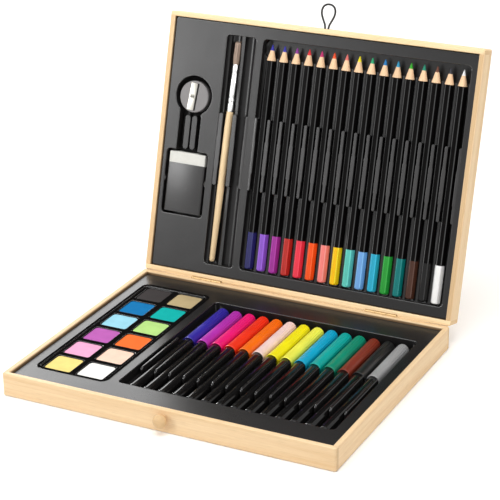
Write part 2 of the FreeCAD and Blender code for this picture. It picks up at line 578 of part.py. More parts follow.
def tool_column_cuts(top):
    """Pods and cutting tools of the sharpener recess, the finger groove and the eraser recess."""
    seat_y = SHARPENER_SHIFT - SHARPENER_DROP
    eraser_floor = PANEL + SHEET
    eraser_end = ERASER_SHIFT + ERASER_RECESS_LENGTH / 2
    step = LID_FACE - SHARPENER_STEP
    seat = LID_FACE - SHARPENER_SINK - SHARPENER_THICK - LOOSE
    seat_radius = SHARPENER_RADIUS + LOOSE
    groove_floor = LID_FACE - GROOVE_DEPTH
    half = GROOVE_WIDTH / 2
    farthest = half + abs(GROOVE_X - SHARPENER_X)
    groove_end = SHARPENER_SHIFT - math.sqrt(SHARPENER_STEP_RADIUS ** 2 - farthest ** 2)
    pods = [pod(TOOL_X, ERASER_SHIFT, ERASER_RECESS_WIDTH, ERASER_RECESS_LENGTH, eraser_floor,
                LID_FACE, WELL_CORNER),
            rod(SHARPENER_STEP_RADIUS + SHEET, SHARPENER_X, SHARPENER_SHIFT, step - SHEET,
                LID_FACE - step + SHEET),
            rod(seat_radius + SHEET, SHARPENER_X, seat_y, seat - SHEET, LID_FACE - seat + SHEET),
            block(GROOVE_X - half - SHEET, GROOVE_X + half + SHEET, eraser_end - SHEET,
                  groove_end + SHEET, groove_floor - SHEET, LID_FACE)]
    cuts = [pad(TOOL_X, ERASER_SHIFT, ERASER_RECESS_WIDTH, ERASER_RECESS_LENGTH, eraser_floor,
                top, WELL_CORNER),
            rod(SHARPENER_STEP_RADIUS, SHARPENER_X, SHARPENER_SHIFT, step, top - step),
            rod(seat_radius, SHARPENER_X, seat_y, seat, top - seat),
            block(GROOVE_X - half, GROOVE_X + half, eraser_end - SHEET, groove_end, groove_floor, top)]
    return pods, cuts


def tool_column_details():
    """Ribs of the finger groove and grip bumps of the eraser recess."""
    groove_floor = LID_FACE - GROOVE_DEPTH
    rib_start = ERASER_SHIFT + ERASER_RECESS_LENGTH / 2 + SHEET
    rib_end = SHARPENER_SHIFT - SHARPENER_STEP_RADIUS
    parts = [bar(x, rib_start, rib_end, GROOVE_RIB, groove_floor - SHEET / 2,
                 groove_floor + GROOVE_RIB_HEIGHT)
             for x in spread(GROOVE_X, GROOVE_RIB_PITCH, GROOVE_RIBS)]
    for side in (-1, 1):
        wall = TOOL_X + side * ERASER_RECESS_WIDTH / 2
        centre = wall + side * (GRIP_BUMP_RADIUS - GRIP_BUMP)
        bump = rod(GRIP_BUMP_RADIUS, centre, ERASER_SHIFT + GRIP_BUMP_SHIFT, PANEL + SHEET / 2,
                   LID_FACE - NUB_SINK - PANEL - SHEET / 2)
        reach = sorted((wall - side * 2 * GRIP_BUMP, wall + side * SHEET / 2))
        parts.append(bump.common(block(reach[0], reach[1], -CASE_DEPTH, CASE_DEPTH, 0, LID_HEIGHT)))
    return parts


def lid_insert():
    """Insert with the pencil well, the brush well and the column of small tools."""
    top = LID_FACE + PAST
    middle, length = LID_WELL_SHIFT, LID_WELL_LENGTH
    pencil_axes = spread(PENCIL_X, PENCIL_PITCH, len(PENCIL_COLOURS))
    brush_axes = (BRUSH_X, BRUSH_X + BRUSH_PITCH)
    wells = ((PENCIL_X, PENCIL_WELL_WIDTH, pencil_axes, PENCIL_CHANNEL, PENCIL_AXIS_Z, TIP_ZONE + SHEET),
             (BRUSH_WELL_X, BRUSH_WELL_WIDTH, brush_axes, BRUSH_CHANNEL, BRUSH_CHANNEL_Z, 0))
    pods, cuts = tool_column_cuts(top)
    for x, width, axes, radius, axis_z, solid in wells:
        pods.append(pod(x, middle, width, length, axis_z - radius, LID_FACE, WELL_CORNER))
        cuts.append(pad(x, middle, width, length, axis_z - RIDGE_DROP, top, WELL_CORNER))
        cuts += channels(axes, LID_WELL_Y0, LID_WELL_Y1, radius, axis_z, top)
        cuts.append(relief(axes, x - width / 2, x + width / 2, LID_WELL_Y0, LID_WELL_Y1 - solid,
                           radius, axis_z))
    cuts.append(pad(PENCIL_X, LID_WELL_Y1 - TIP_ZONE / 2, PENCIL_WELL_WIDTH, TIP_ZONE,
                    PENCIL_AXIS_Z - PENCIL_CHANNEL, top, WELL_CORNER))
    shell = insert_plate(LID_FACE).fuse(pods).cut(cuts)
    nub_y = LID_WELL_Y0 + PENCIL_NUB_START
    nub_top = LID_FACE - NUB_SINK
    nub_places = spread(PENCIL_X, PENCIL_PITCH, len(PENCIL_COLOURS) + 1)
    nub_places[0] -= NUB_AT_WALL
    nub_places[-1] += NUB_AT_WALL
    nubs = [nub(x, nub_y, PENCIL_NUB_LENGTH, PENCIL_NUB_NARROW, PENCIL_NUB_WIDE,
                PENCIL_AXIS_Z - RIDGE_DROP - SHEET / 2, nub_top) for x in nub_places]
    nubs += [nub(BRUSH_X + x, nub_y, PENCIL_NUB_LENGTH, BRUSH_NUB_NARROW, BRUSH_NUB_WIDE,
                 BRUSH_CHANNEL_Z - RIDGE_DROP - SHEET / 2, nub_top) for x in BRUSH_NUB_PLACES]
    return shell.fuse(nubs + tool_column_details()).removeSplitter()


# ---- Contents of the base ----

def paint_places():
    """Centres of the paint tablets."""
    return [(x, y) for y in spread(0, TABLET_PITCH_Y, TABLET_ROWS)
            for x in spread(PAINT_X, TABLET_PITCH_X, TABLET_COLUMNS)]


def paint_set():
    """Tray with a pocket for each tablet, and the tablets."""
    lip_top = BASE_FACE - TRAY_SINK
    field = lip_top - TRAY_LIP_HEIGHT
    tray = pad(PAINT_X, 0, TRAY_WIDTH, TRAY_LENGTH, lip_top - TRAY_HEIGHT, lip_top, TRAY_CORNER - LOOSE)
    tablet_floor = field - TABLET_SINK - TABLET_THICK
    pocket = TABLET + 2 * TABLET_PLAY
    cuts = [pad(PAINT_X, 0, TRAY_WIDTH - 2 * TRAY_LIP, TRAY_LENGTH - 2 * TRAY_LIP, field,
                lip_top + PAST, TRAY_CORNER - LOOSE - TRAY_LIP)]
    cuts += [pad(x, y, pocket, pocket, tablet_floor, lip_top + PAST, TABLET_CORNER + TABLET_PLAY)
             for x, y in paint_places()]
    tablets = [pad(x, y, TABLET, TABLET, tablet_floor, tablet_floor + TABLET_THICK, TABLET_CORNER)
               for x, y in paint_places()]
    return tray.cut(cuts), tablets


def marker():
    """Barrel, nib and cap of one marker, along +Y from its barrel end."""
    neck = CAP_RADIUS - CAP_WALL - NECK_PLAY
    section = BARREL_LENGTH + NECK_LENGTH
    barrel = turned(((0, BARREL_RADIUS - BARREL_ROUND), (BARREL_ROUND, BARREL_RADIUS),
                     (BARREL_LENGTH, BARREL_RADIUS), (BARREL_LENGTH, neck), (section, neck),
                     (section, SECTION_RADIUS), (section + SECTION_LENGTH, SECTION_RADIUS * 0.6)))
    nib = turned(((section + SECTION_LENGTH, NIB_RADIUS),
                  (section + SECTION_LENGTH + NIB_LENGTH * 0.7, NIB_RADIUS),
                  (section + SECTION_LENGTH + NIB_LENGTH, NIB_RADIUS * 0.4)))
    cap = rod(CAP_RADIUS, 0, BARREL_LENGTH, 0, CAP_LENGTH, Y_AXIS)
    end = [e for e in cap.Edges if e.BoundBox.YMin > BARREL_LENGTH + CAP_LENGTH / 2]
    cap = cap.makeFillet(CAP_ROUND, end)
    cap = cap.cut(rod(CAP_RADIUS - CAP_WALL, 0, BARREL_LENGTH - PAST, 0,
                      CAP_LENGTH - 2 * CAP_WALL + PAST, Y_AXIS))
    return [barrel, nib, cap]


# ---- Contents of the lid ----

def pencil():
    """Casing and lead of one sharpened pencil, along +Y from its dipped end."""
    corner = PENCIL_FLATS / math.sqrt(3)
    points = [FreeCAD.Vector(corner * math.cos(math.radians(60 * i)), 0,
                             corner * math.sin(math.radians(60 * i))) for i in range(7)]
    hexagon = Part.Face(Part.makePolygon(points)).extrude(Y_AXIS * PENCIL_LENGTH)
    hexagon = hexagon.makeFillet(PENCIL_EDGE_ROUND, edges_along(hexagon, Y_AXIS))
    outline = turned(((0, corner - PENCIL_END_ROUND), (PENCIL_END_ROUND, corner),
                      (PENCIL_LENGTH - POINT_LENGTH, corner), (PENCIL_LENGTH, POINT_RADIUS)))
    body = hexagon.common(outline)
    lead = rod(LEAD_RADIUS, 0, -PAST, 0, PENCIL_LENGTH + 2 * PAST, Y_AXIS)
    return [body.cut(lead), body.common(lead)]


def brush():
    """Handle, ferrule and bristles, along +Y from the handle's end."""
    ferrule_end = HANDLE_LENGTH + FERRULE_LENGTH
    slope = (FERRULE_TIP_RADIUS - FERRULE_RADIUS) / FERRULE_LENGTH
    bore = FERRULE_RADIUS - FERRULE_WALL
    tip_bore = FERRULE_TIP_RADIUS - FERRULE_WALL
    spigot_end = bore + slope * FERRULE_GRIP
    root = tip_bore - slope * FERRULE_GRIP
    handle = turned(((0, HANDLE_END_RADIUS * 0.55), (HANDLE_END_RADIUS * 0.3, HANDLE_END_RADIUS * 0.9),
                     (HANDLE_END_RADIUS, HANDLE_END_RADIUS),
                     (HANDLE_LENGTH - 3 * HANDLE_SHOULDER, HANDLE_RADIUS),
                     (HANDLE_LENGTH - HANDLE_SHOULDER, HANDLE_RADIUS),
                     (HANDLE_LENGTH, FERRULE_RADIUS), (HANDLE_LENGTH, bore),
                     (HANDLE_LENGTH + FERRULE_GRIP, spigot_end)))
    outside = turned(((HANDLE_LENGTH, FERRULE_RADIUS), (ferrule_end, FERRULE_TIP_RADIUS)))
    inside = turned(((HANDLE_LENGTH, bore), (ferrule_end, tip_bore)))
    bristles = turned(((ferrule_end - FERRULE_GRIP, root), (ferrule_end, tip_bore),
                       (ferrule_end + BRISTLE_LENGTH * 0.35, BRISTLE_BELLY),
                       (ferrule_end + BRISTLE_LENGTH, BRISTLE_TIP_RADIUS)))
    swing = math.tan(math.radians(BRUSH_TILT_DEG)) * BRUSH_LENGTH / 2
    return [moved(shape, BRUSH_X - swing, LID_WELL_Y0 + BRUSH_END_GAP, BRUSH_AXIS_Z, -BRUSH_TILT_DEG)
            for shape in (handle, outside.cut(inside), bristles)]


def eraser():
    """Rubber block and its card sleeve."""
    floor = PANEL + SHEET + LOOSE
    z0 = floor + SLEEVE_WALL + SLEEVE_PLAY
    y0 = ERASER_SHIFT - ERASER_LENGTH / 2
    half = ERASER_WIDTH / 2
    rubber = block(TOOL_X - half, TOOL_X + half, y0, y0 + ERASER_LENGTH, z0, z0 + ERASER_THICK)
    rubber = rubber.makeFillet(ERASER_ROUND, rubber.Edges)
    length = ERASER_LENGTH - ERASER_BARE
    outer = block(TOOL_X - SLEEVE_WIDTH / 2, TOOL_X + SLEEVE_WIDTH / 2, y0, y0 + length,
                  floor, floor + SLEEVE_THICK)
    outer = outer.makeFillet(ERASER_ROUND + SLEEVE_WALL, edges_along(outer, Y_AXIS))
    gap = SLEEVE_PLAY
    inner = block(TOOL_X - half - gap, TOOL_X + half + gap, y0 - PAST, y0 + length + PAST,
                  z0 - gap, z0 + ERASER_THICK + gap)
    inner = inner.makeFillet(ERASER_ROUND, edges_along(inner, Y_AXIS))
    return rubber, outer.cut(inner)


def sharpener():
    """Round body with its pencil hole, blade and blade screw, face up at z = 0."""
    body = rod(SHARPENER_RADIUS, 0, 0, -SHARPENER_THICK, SHARPENER_THICK)
    body = body.makeFillet(SHARPENER_ROUND, edges_at(body, 0) + edges_at(body, -SHARPENER_THICK))
    seat_depth = BLADE_THICK - BLADE_PROUD
    seat = block(-BLADE_WIDTH / 2 - BLADE_PLAY, BLADE_WIDTH / 2, -BLADE_LENGTH / 2 - BLADE_PLAY,
                 BLADE_LENGTH / 2 + BLADE_PLAY, -seat_depth, PAST)
    slot_x = (BLADE_WIDTH + SHAVING_SLOT) / 2
    slot = block(slot_x - SHAVING_SLOT / 2, slot_x + SHAVING_SLOT / 2, -BLADE_LENGTH / 2,
                 BLADE_LENGTH / 2, -HOLE_DROP, PAST)
    hole = turned(((-SHARPENER_RADIUS - PAST, HOLE_RADIUS), (-SHARPENER_RADIUS + PAST, HOLE_RADIUS),
                   (-SHARPENER_RADIUS + HOLE_LENGTH, HOLE_TIP_RADIUS)))
    screw_hole = rod(BLADE_SCREW_RADIUS + GLUE_GAP, 0, 0, -BLADE_SCREW_LENGTH - GLUE_GAP,
                     BLADE_SCREW_LENGTH + PAST)
    tools = [seat, slot, moved(hole, slot_x, 0, -HOLE_DROP), screw_hole]
    tools = [moved(tool, BLADE_SHIFT, 0, 0, BLADE_TILT_DEG) for tool in tools]
    blade = block(-BLADE_WIDTH / 2, BLADE_WIDTH / 2, -BLADE_LENGTH / 2, BLADE_LENGTH / 2,
                  -seat_depth, BLADE_PROUD)
    cutting_edge = [e for e in edges_along(blade, Y_AXIS)
                    if e.CenterOfMass.x > 0 and e.CenterOfMass.z > 0 - seat_depth / 2]
    blade = blade.makeChamfer(BLADE_THICK * 0.8, cutting_edge).cut(screw_hole)
    screw = rod(BLADE_SCREW_HEAD, 0, 0, BLADE_PROUD, BLADE_SCREW_HEAD_HEIGHT)
    slot_tool = block(-BLADE_SCREW_HEAD, BLADE_SCREW_HEAD, -DRIVE_WIDTH / 2, DRIVE_WIDTH / 2,
                      BLADE_PROUD + BLADE_SCREW_HEAD_HEIGHT / 2, PAST)
    shank = rod(BLADE_SCREW_RADIUS, 0, 0, -BLADE_SCREW_LENGTH, BLADE_SCREW_LENGTH + BLADE_PROUD)
    screw = screw.fuse(shank).cut(slot_tool)
    parts = [body.cut(tools)] + [moved(s, BLADE_SHIFT, 0, 0, BLADE_TILT_DEG) for s in (blade, screw)]
    return [moved(s, SHARPENER_X, SHARPENER_SHIFT - SHARPENER_DROP, LID_FACE - SHARPENER_SINK)
            for s in parts]


# ---- Assembly ----

def base_pieces():
    """Named pieces of the base and what it holds."""
    front, back, left, right, panel = case_half(BASE_HEIGHT, 1)
    screws = screw_places(BASE_HEIGHT, 1)
    spigot_hole = rod(SPIGOT_RADIUS, 0, -CASE_DEPTH, KNOB_HEIGHT, CASE_DEPTH, Y_AXIS)
    tray, tablets = paint_set()
    pieces = {
        "base_front_wall": front.cut(spigot_hole),
        "base_back_wall": drilled(back, screws, BASE_HEIGHT, 1),
        "base_left_wall": left,
        "base_right_wall": right,
        "base_bottom_panel": panel,
        "base_insert": base_insert(),
        "closure_knob": closure_knob(),
        "hinge_base_screws": [hinge_screw(place, 1) for place in screws],
        "paint_tray": tray,
        "paint_tablets": tablets,
    }
    one_marker = marker()
    places = spread(MARKER_X, MARKER_PITCH, len(MARKER_COLOURS))
    for number, (colour, x) in enumerate(zip(MARKER_COLOURS, places), 1):
        pieces["marker_%02d_%s" % (number, colour)] = [
            moved(shape, x, MARKER_Y0 + MARKER_END_GAP, MARKER_AXIS_Z) for shape in one_marker]
    return pieces


def lid_pieces():
    """Named pieces of the lid and what it holds, drawn in the flat lid."""
    front, back, left, right, panel = case_half(LID_HEIGHT, -1)
    screws = screw_places(LID_HEIGHT, -1)
    cord_holes = [rod(CORD_DIAMETER / 2 + CORD_HOLE_GAP, x, 0, CORD_Z, CASE_DEPTH, Y_AXIS)
                  for x in (-CORD_SPREAD / 2, CORD_SPREAD / 2)]
    rubber, sleeve = eraser()
    body, blade, blade_screw = sharpener()
    handle, ferrule, bristles = brush()
    pieces = {
        "lid_front_wall": front.cut(cord_holes),
        "lid_back_wall": drilled(back, screws, LID_HEIGHT, -1),
        "lid_left_wall": left,
        "lid_right_wall": right,
        "lid_top_panel": panel,
        "lid_insert": lid_insert(),
        "elastic_loop": elastic_loop(),
        "elastic_knot": elastic_knot(),
        "hinge_lid_screws": [hinge_screw(place, -1) for place in screws],
        "eraser_rubber": rubber,
        "eraser_sleeve": sleeve,
        "sharpener_body": body,
        "sharpener_blade": blade,
        "sharpener_screw": blade_screw,
        "brush_handle": handle,
        "brush_ferrule": ferrule,
        "brush_bristles": bristles,
    }
    one_pencil = pencil()
    places = spread(PENCIL_X, PENCIL_PITCH, len(PENCIL_COLOURS))
    for number, (colour, x) in enumerate(zip(PENCIL_COLOURS, places), 1):
        pieces["pencil_%02d_%s" % (number, colour)] = [
            moved(shape, x, LID_WELL_Y0 + PENCIL_END_GAP, PENCIL_AXIS_Z) for shape in one_pencil]
    return pieces


def solids_of(piece):
    """Every solid of a piece, which is one shape or a list of shapes."""
    shapes = piece if isinstance(piece, list) else [piece]
    return [solid for shape in shapes for solid in shape.Solids]


def main():
    """Build every piece and write one STEP file for each."""
    os.makedirs("parts", exist_ok=True)
    model = {name: solids_of(piece) for name, piece in base_pieces().items()}
    for name, piece in lid_pieces().items():
        model[name] = [on_lid(solid) for solid in solids_of(piece)]
    base_leaves, lid_leaves, pins = hinge_pieces()
    model["hinge_base_leaves"] = solids_of(base_leaves)
    model["hinge_lid_leaves"] = solids_of(lid_leaves)
    model["hinge_pins"] = pins
    for name, solids in model.items():
        Part.makeCompound(solids).exportStep("parts/" + name + ".step")
    print("case %.2f x %.2f, base height %.2f, lid height %.2f, %d pieces"
          % (CASE_WIDTH, CASE_DEPTH, BASE_HEIGHT, LID_HEIGHT, len(model)))


main()
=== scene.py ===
"""A wooden colouring case that stands open, with its markers, paints, pencils and small tools."""

import json
import math

import bmesh
import bpy
from mathutils import Matrix, Vector


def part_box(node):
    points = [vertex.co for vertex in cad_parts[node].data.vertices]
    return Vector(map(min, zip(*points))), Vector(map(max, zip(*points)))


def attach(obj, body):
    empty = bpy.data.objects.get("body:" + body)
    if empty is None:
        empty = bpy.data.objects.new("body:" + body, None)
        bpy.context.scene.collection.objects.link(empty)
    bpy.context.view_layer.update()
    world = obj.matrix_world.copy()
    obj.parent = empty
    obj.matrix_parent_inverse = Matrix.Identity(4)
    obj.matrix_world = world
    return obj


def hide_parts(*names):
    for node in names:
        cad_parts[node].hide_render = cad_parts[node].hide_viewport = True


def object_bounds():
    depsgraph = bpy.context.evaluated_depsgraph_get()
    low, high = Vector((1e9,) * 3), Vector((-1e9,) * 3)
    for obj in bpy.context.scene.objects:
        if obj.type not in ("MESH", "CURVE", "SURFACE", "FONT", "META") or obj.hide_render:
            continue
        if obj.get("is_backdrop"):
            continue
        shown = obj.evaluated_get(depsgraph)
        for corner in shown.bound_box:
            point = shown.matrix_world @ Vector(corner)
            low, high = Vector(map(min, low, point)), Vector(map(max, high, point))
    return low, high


bl_info = {
    "name": "Wooden Colouring Case",
    "version": (1, 0, 0),
    "blender": (4, 5, 0),
    "location": "View3D > Sidebar > Colouring Case",
    "description": "Builds the boards, inserts, markers, paints, pencils and tools of an open case",
    "category": "Object",
}

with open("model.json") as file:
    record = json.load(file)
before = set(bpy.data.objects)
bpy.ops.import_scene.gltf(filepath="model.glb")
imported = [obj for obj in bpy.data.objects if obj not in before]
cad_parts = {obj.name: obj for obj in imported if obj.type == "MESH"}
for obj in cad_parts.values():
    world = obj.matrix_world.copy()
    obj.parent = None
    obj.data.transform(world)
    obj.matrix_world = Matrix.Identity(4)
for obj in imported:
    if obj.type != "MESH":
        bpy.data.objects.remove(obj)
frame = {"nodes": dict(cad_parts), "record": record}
FRAME_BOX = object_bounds()

# Both halves are worked out flat on their outer panels, open side up.  UPRIGHT stands the flat
# lid on its hinge axis, as far back as the hinge stops let it go.
HINGE = next(joint for joint in frame["record"]["behaviour"]["joints"]
             if joint["name"] == "lid_hinge")
LEAN = math.pi + math.radians(HINGE["range_deg"][0])
LID_HINGE = Vector((0, -0.104, 0.01695))
FLAT = Matrix.Identity(4)
UPRIGHT = (Matrix.Translation(HINGE["pos_m"]) @ Matrix.Rotation(LEAN, 4, "X")
           @ Matrix.Translation(-LID_HINGE))
HALVES = {"base": FLAT, "lid": UPRIGHT}

# Boards of a half, each with the axis of its grain, 0 to 2.
WALLS = {"front_wall": 0, "back_wall": 0, "left_wall": 1, "right_wall": 1}
PANELS = {"base": "bottom_panel", "lid": "top_panel"}
# Boards painted paler as painted light, where the lamps fall brighter on them, and how much paler.
PAINTED_LIGHT_BOARDS = {"lid_left_wall", "lid_front_wall", "lid_back_wall"}
PAINTED_LIGHT_GAIN = 1.16
# Each board is cut from its own spot of the grain, this far from the last one.
GRAIN_STEP = (0.37, 0.21, 0.11)
# The walls' inner sides are nearer to the middle of a half than this, in x and in y.
INNER_REACH = (0.1272, 0.1002)
# Painted shade darkens the walls' inner sides up to this height above an insert's face, in this
# colour.
SEAM_HEIGHT = 0.0017
SEAM_SHADE_COLOUR = (0.13, 0.06, 0.022, 1)
# Rounding of the sanded edges, with a hair more, and how far from the middle of a hinge side
# the rim is left square.
SANDED = 0.00081
SANDED_REACH = 0.12945

# Brightness and gloss of the grip nubs' tops, by half, and the widest that a top can be. The
# brightness is painted light: lighter tops in the lid, and darker ones in the base as painted shade.
NUB_LOOK = {"base": (0.6, 0.1), "lid": (1.5, 0.22)}
WIDEST_NUB = 0.0035
# Colour of the knob's wood, as shares of the boards' light wood.
KNOB_WARMTH = (0.86, 0.76, 0.62, 1)

# The tray's flange: how far it stands beyond the tray, its thickness, and its gap to the insert.
FLANGE_REACH = 0.0014
FLANGE_THICKNESS = 0.00016
FLANGE_GAP = 0.00002
TABLET_SIDE = 0.0217

# Marker: length of the barrel below the cap in millimetres, the cap's steps all round, its
# radius, and the stretch with the ribs.
CAP_START = 85.5
CAP_STEPS = 64
CAP_RADIUS = 0.0049
RIBBED = (0.1112, 0.1432)

# Radius over a pencil's edges, and the radius past which a face counts as an edge.
PENCIL_RADIUS = 0.00374
PENCIL_EDGE = 0.00368

# Colours of the caps, by marker.
CAPS = {
    "marker_01_indigo": "2f259b", "marker_02_purple": "b52fb0", "marker_03_pink": "ee1578",
    "marker_04_red": "f23412", "marker_05_orange": "fb7100", "marker_06_peach": "fbd9d2",
    "marker_07_yellow": "f9ec0c", "marker_08_lemon": "f6f454", "marker_09_cyan": "00a9cf",
    "marker_10_teal": "00a9a0", "marker_11_green": "008a6b", "marker_12_brown": "7e2a16",
    "marker_13_black": "0f0e0e", "marker_14_grey": "9c9c9c",
}
# Colours of the dipped end and of the lead, by pencil.
PENCILS = {
    "pencil_01_navy": ("20205c", "2c2a9e"), "pencil_02_violet": ("8a55c8", "2d2ba5"),
    "pencil_03_magenta": ("9a2a93", "8a2b8f"), "pencil_04_crimson": ("b3261e", "e0222c"),
    "pencil_05_rose": ("e83248", "c0206a"), "pencil_06_orange": ("f4500b", "f2501b"),
    "pencil_07_salmon": ("f5837c", "e4736a"), "pencil_08_yellow": ("fcc100", "f3e100"),
    "pencil_09_aqua": ("59c0b4", "14a06a"), "pencil_10_sky": ("6fa5e0", "1a78b8"),
    "pencil_11_cyan": ("28a6c6", "2090b8"), "pencil_12_green": ("229432", "27a012"),
    "pencil_13_teal": ("00716f", "0f8468"), "pencil_14_brown": ("45281c", "6a3b28"),
    "pencil_15_black": ("0c0b0b", "2a2a33"), "pencil_16_white": ("f5f4f2", "ffffff"),
}
# Colours of the paint tablets, in rows from the back of the case, left and right.
PAINTS = (("383434", "b9a57c"), ("0071ac", "00aba4"), ("98d2e4", "b2da80"),
          ("b95fb0", "f2702e"), ("f0a8cc", "fad2bc"), ("f4da84", "f8f5f0"))


def tone(code):
    """Linear colour of a display colour's six hexadecimal digits."""
    parts = [int(code[i:i + 2], 16) / 255 for i in (0, 2, 4)]
    linear = [v / 12.92 if v <= 0.04045 else ((v + 0.055) / 1.055) ** 2.4 for v in parts]
    return (*linear, 1.0)


# ---- Sizes and colours that a user may change ----

def colour_setting(name, description, code):
    """Colour property with a default."""
    return bpy.props.FloatVectorProperty(name=name, description=description, default=tone(code),
                                         subtype="COLOR", size=4, min=0.0, max=1.0)


def length_setting(name, description, metres):
    """Length property with a default."""
    return bpy.props.FloatProperty(name=name, description=description, default=metres, min=0.0,
                                   unit="LENGTH", precision=5)


class CaseColours(bpy.types.PropertyGroup):
    """Colours of the case and its tools."""
    wood_light: colour_setting("Light wood", "Early wood of the boards", "f5d9b0")
    wood_deep: colour_setting("Deep wood", "Late wood of the boards", "e1bb8a")
    insert: colour_setting("Inserts", "Formed sheet of both inserts", "1c1b1b")
    tray: colour_setting("Paint tray", "Moulded tray of the paints", "121111")
    barrel: colour_setting("Marker barrels", "Moulded barrels", "100f0f")
    lacquer: colour_setting("Pencil lacquer", "Lacquer of the pencil bodies", "0b0a0a")
    cedar: colour_setting("Pencil wood", "Bare wood at the sharpened cones", "f6cfa6")
    cord: colour_setting("Elastic", "Braided elastic of the closure", "1d1c1c")
    brass: colour_setting("Hinges", "Plated hinges, pins and screws", "c6a679")
    steel: colour_setting("Blade", "Ground steel of the sharpener's blade", "b9b6ae")
    sharpener: colour_setting("Sharpener", "Moulded body of the sharpener", "767373")
    handle: colour_setting("Brush handle", "Lacquered handle of the brush", "f3d6a8")
    hair: colour_setting("Brush hair", "Hair of the brush", "998373")
    rubber: colour_setting("Eraser", "Eraser block", "d9d8d1")
    card: colour_setting("Eraser sleeve", "Varnished card sleeve", "242323")


class CaseSizes(bpy.types.PropertyGroup):
    """Sizes of the details that the frame leaves open."""
    mouth: length_setting("Well mouths", "Softness of the edges of the wells", 0.0006)
    nub_flare: bpy.props.FloatProperty(name="Nub flare", default=1.28, min=1.0, max=1.4,
                                       description="Width of a nub's top in the lid, as a multiple")
    tray_mouth: length_setting("Tray edges", "Softness of the edges of the paint tray", 0.0003)
    rib_depth: length_setting("Cap ribs", "Depth of the grip ribs of the caps", 0.0005)
    dip: length_setting("Dipped end", "Length of a pencil's coloured end", 0.0295)
    cone: length_setting("Cone", "Length of a pencil's sharpened cone", 0.013)
    lead: length_setting("Lead", "Length of the bare lead at a pencil's tip", 0.0044)
    flats: length_setting("Pencil flats", "Width of a pencil across its flats", 0.0068)
    cord: length_setting("Cord", "Diameter of the elastic loop", 0.0016)


# ---- Forms ----

def flat_box(node, place=FLAT):
    """Lowest and highest corner of a frame node in the flat frame of its half."""
    back = place.inverted()
    corners = [back @ vertex.co for vertex in frame["nodes"][node].data.vertices]
    return (Vector(min(c[i] for c in corners) for i in range(3)),
            Vector(max(c[i] for c in corners) for i in range(3)))


def block_form(low, high):
    """Box between two corners."""
    form = bmesh.new()
    bmesh.ops.create_cube(form, size=1.0)
    bmesh.ops.scale(form, vec=Vector(high) - Vector(low), verts=form.verts)
    bmesh.ops.translate(form, vec=(Vector(high) + Vector(low)) / 2, verts=form.verts)
    return form


def in_metres(profile, shift=0.0):
    """Profile in metres from one in millimetres, shifted along."""
    return [((along + shift) / 1000, radius / 1000) for along, radius in profile]


def turned_form(profile, steps):
    """Form turned about Y from (distance along, radius) pairs that start and end on the axis."""
    form = bmesh.new()
    points = [form.verts.new((radius, along, 0)) for along, radius in profile]
    for first, second in zip(points, points[1:]):
        form.edges.new((first, second))
    bmesh.ops.spin(form, geom=form.verts[:] + form.edges[:], cent=(0, 0, 0), axis=(0, 1, 0),
                   angle=math.tau, steps=steps, use_merge=True)
    bmesh.ops.remove_doubles(form, verts=form.verts, dist=1e-6)
    bmesh.ops.recalc_face_normals(form, faces=form.faces)
    return form


def node_form(node, place=FLAT):
    """Joined copy of a frame node, in the flat frame of its half, with its flats made whole."""
    form = bmesh.new()
    form.from_mesh(frame["nodes"][node].data)
    bmesh.ops.remove_doubles(form, verts=form.verts, dist=2e-6)
    bmesh.ops.dissolve_limit(form, angle_limit=math.radians(0.6), verts=form.verts,
                             edges=form.edges)
    bmesh.ops.triangulate(form, faces=[face for face in form.faces if len(face.verts) > 4])
    form.transform(place.inverted())
    return form


def soften(form, edges, width, segments=3):
    """Rounds edges off."""
    bmesh.ops.bevel(form, geom=edges, offset=width, offset_type="OFFSET", affect="EDGES",
                    segments=segments, profile=0.5, material=-1, face_strength_mode="ALL")


def sharp_edges(form, turn=50):
    """Edges where the surface turns by more than an angle in degrees."""
    limit = math.radians(turn)
    return [edge for edge in form.edges if edge.is_manifold and edge.calc_face_angle(0) > limit]


def level_edges(form, *heights):
    """Sharp edges that lie in one of some level planes."""
    return [edge for edge in sharp_edges(form, 60)
            if any(all(abs(v.co.z - height) < 2e-5 for v in edge.verts) for height in heights)]


def upright_edges(form):
    """Edges that stand up."""
    return [edge for edge in form.edges
            if abs(edge.verts[0].co.z - edge.verts[1].co.z) > 0.0001]


def cut_form(form, point, direction, clear=False):
    """Cuts a form in a plane and gives the edges of the cut; what lies beyond can be cleared."""
    cut = bmesh.ops.bisect_plane(form, geom=form.verts[:] + form.edges[:] + form.faces[:],
                                 dist=1e-7, plane_co=point, plane_no=direction, clear_outer=clear)
    return [item for item in cut["geom_cut"] if isinstance(item, bmesh.types.BMEdge)]


def mark_slopes(form):
    """Gives the second finish to sloping faces and the first to level and upright ones."""
    for face in form.faces:
        face.material_index = int(0.05 < face.normal.z < 0.98)


def islands(faces):
    """Groups of faces that touch."""
    left = set(faces)
    while left:
        group, reached = [], [left.pop()]
        while reached:
            face = reached.pop()
            group.append(face)
            near = {other for corner in face.verts for other in corner.link_faces} & left
            left -= near
            reached += near
        yield group


def nub_tops(form, level):
    """Tops of the grip nubs, a little below an insert's level: faces, corners, left and right."""
    lowest = level - 0.0012
    highest = level - 0.00015
    tops = [face for face in form.faces
            if face.normal.z > 0.15 and lowest < face.calc_center_median().z < highest]
    for island in islands(tops):
        corners = {corner for face in island for corner in face.verts}
        left, right = (pick(corner.co.x for corner in corners) for pick in (min, max))
        if right - left <= WIDEST_NUB:
            yield island, corners, left, right


def flare_nubs(form, nubs, amount):
    """Widens the tops of the grip nubs."""
    for _, corners, left, right in nubs:
        middle = Matrix.Translation(((left + right) / 2, 0, 0))
        bmesh.ops.scale(form, vec=(amount, 1, 1), space=middle.inverted(), verts=list(corners))


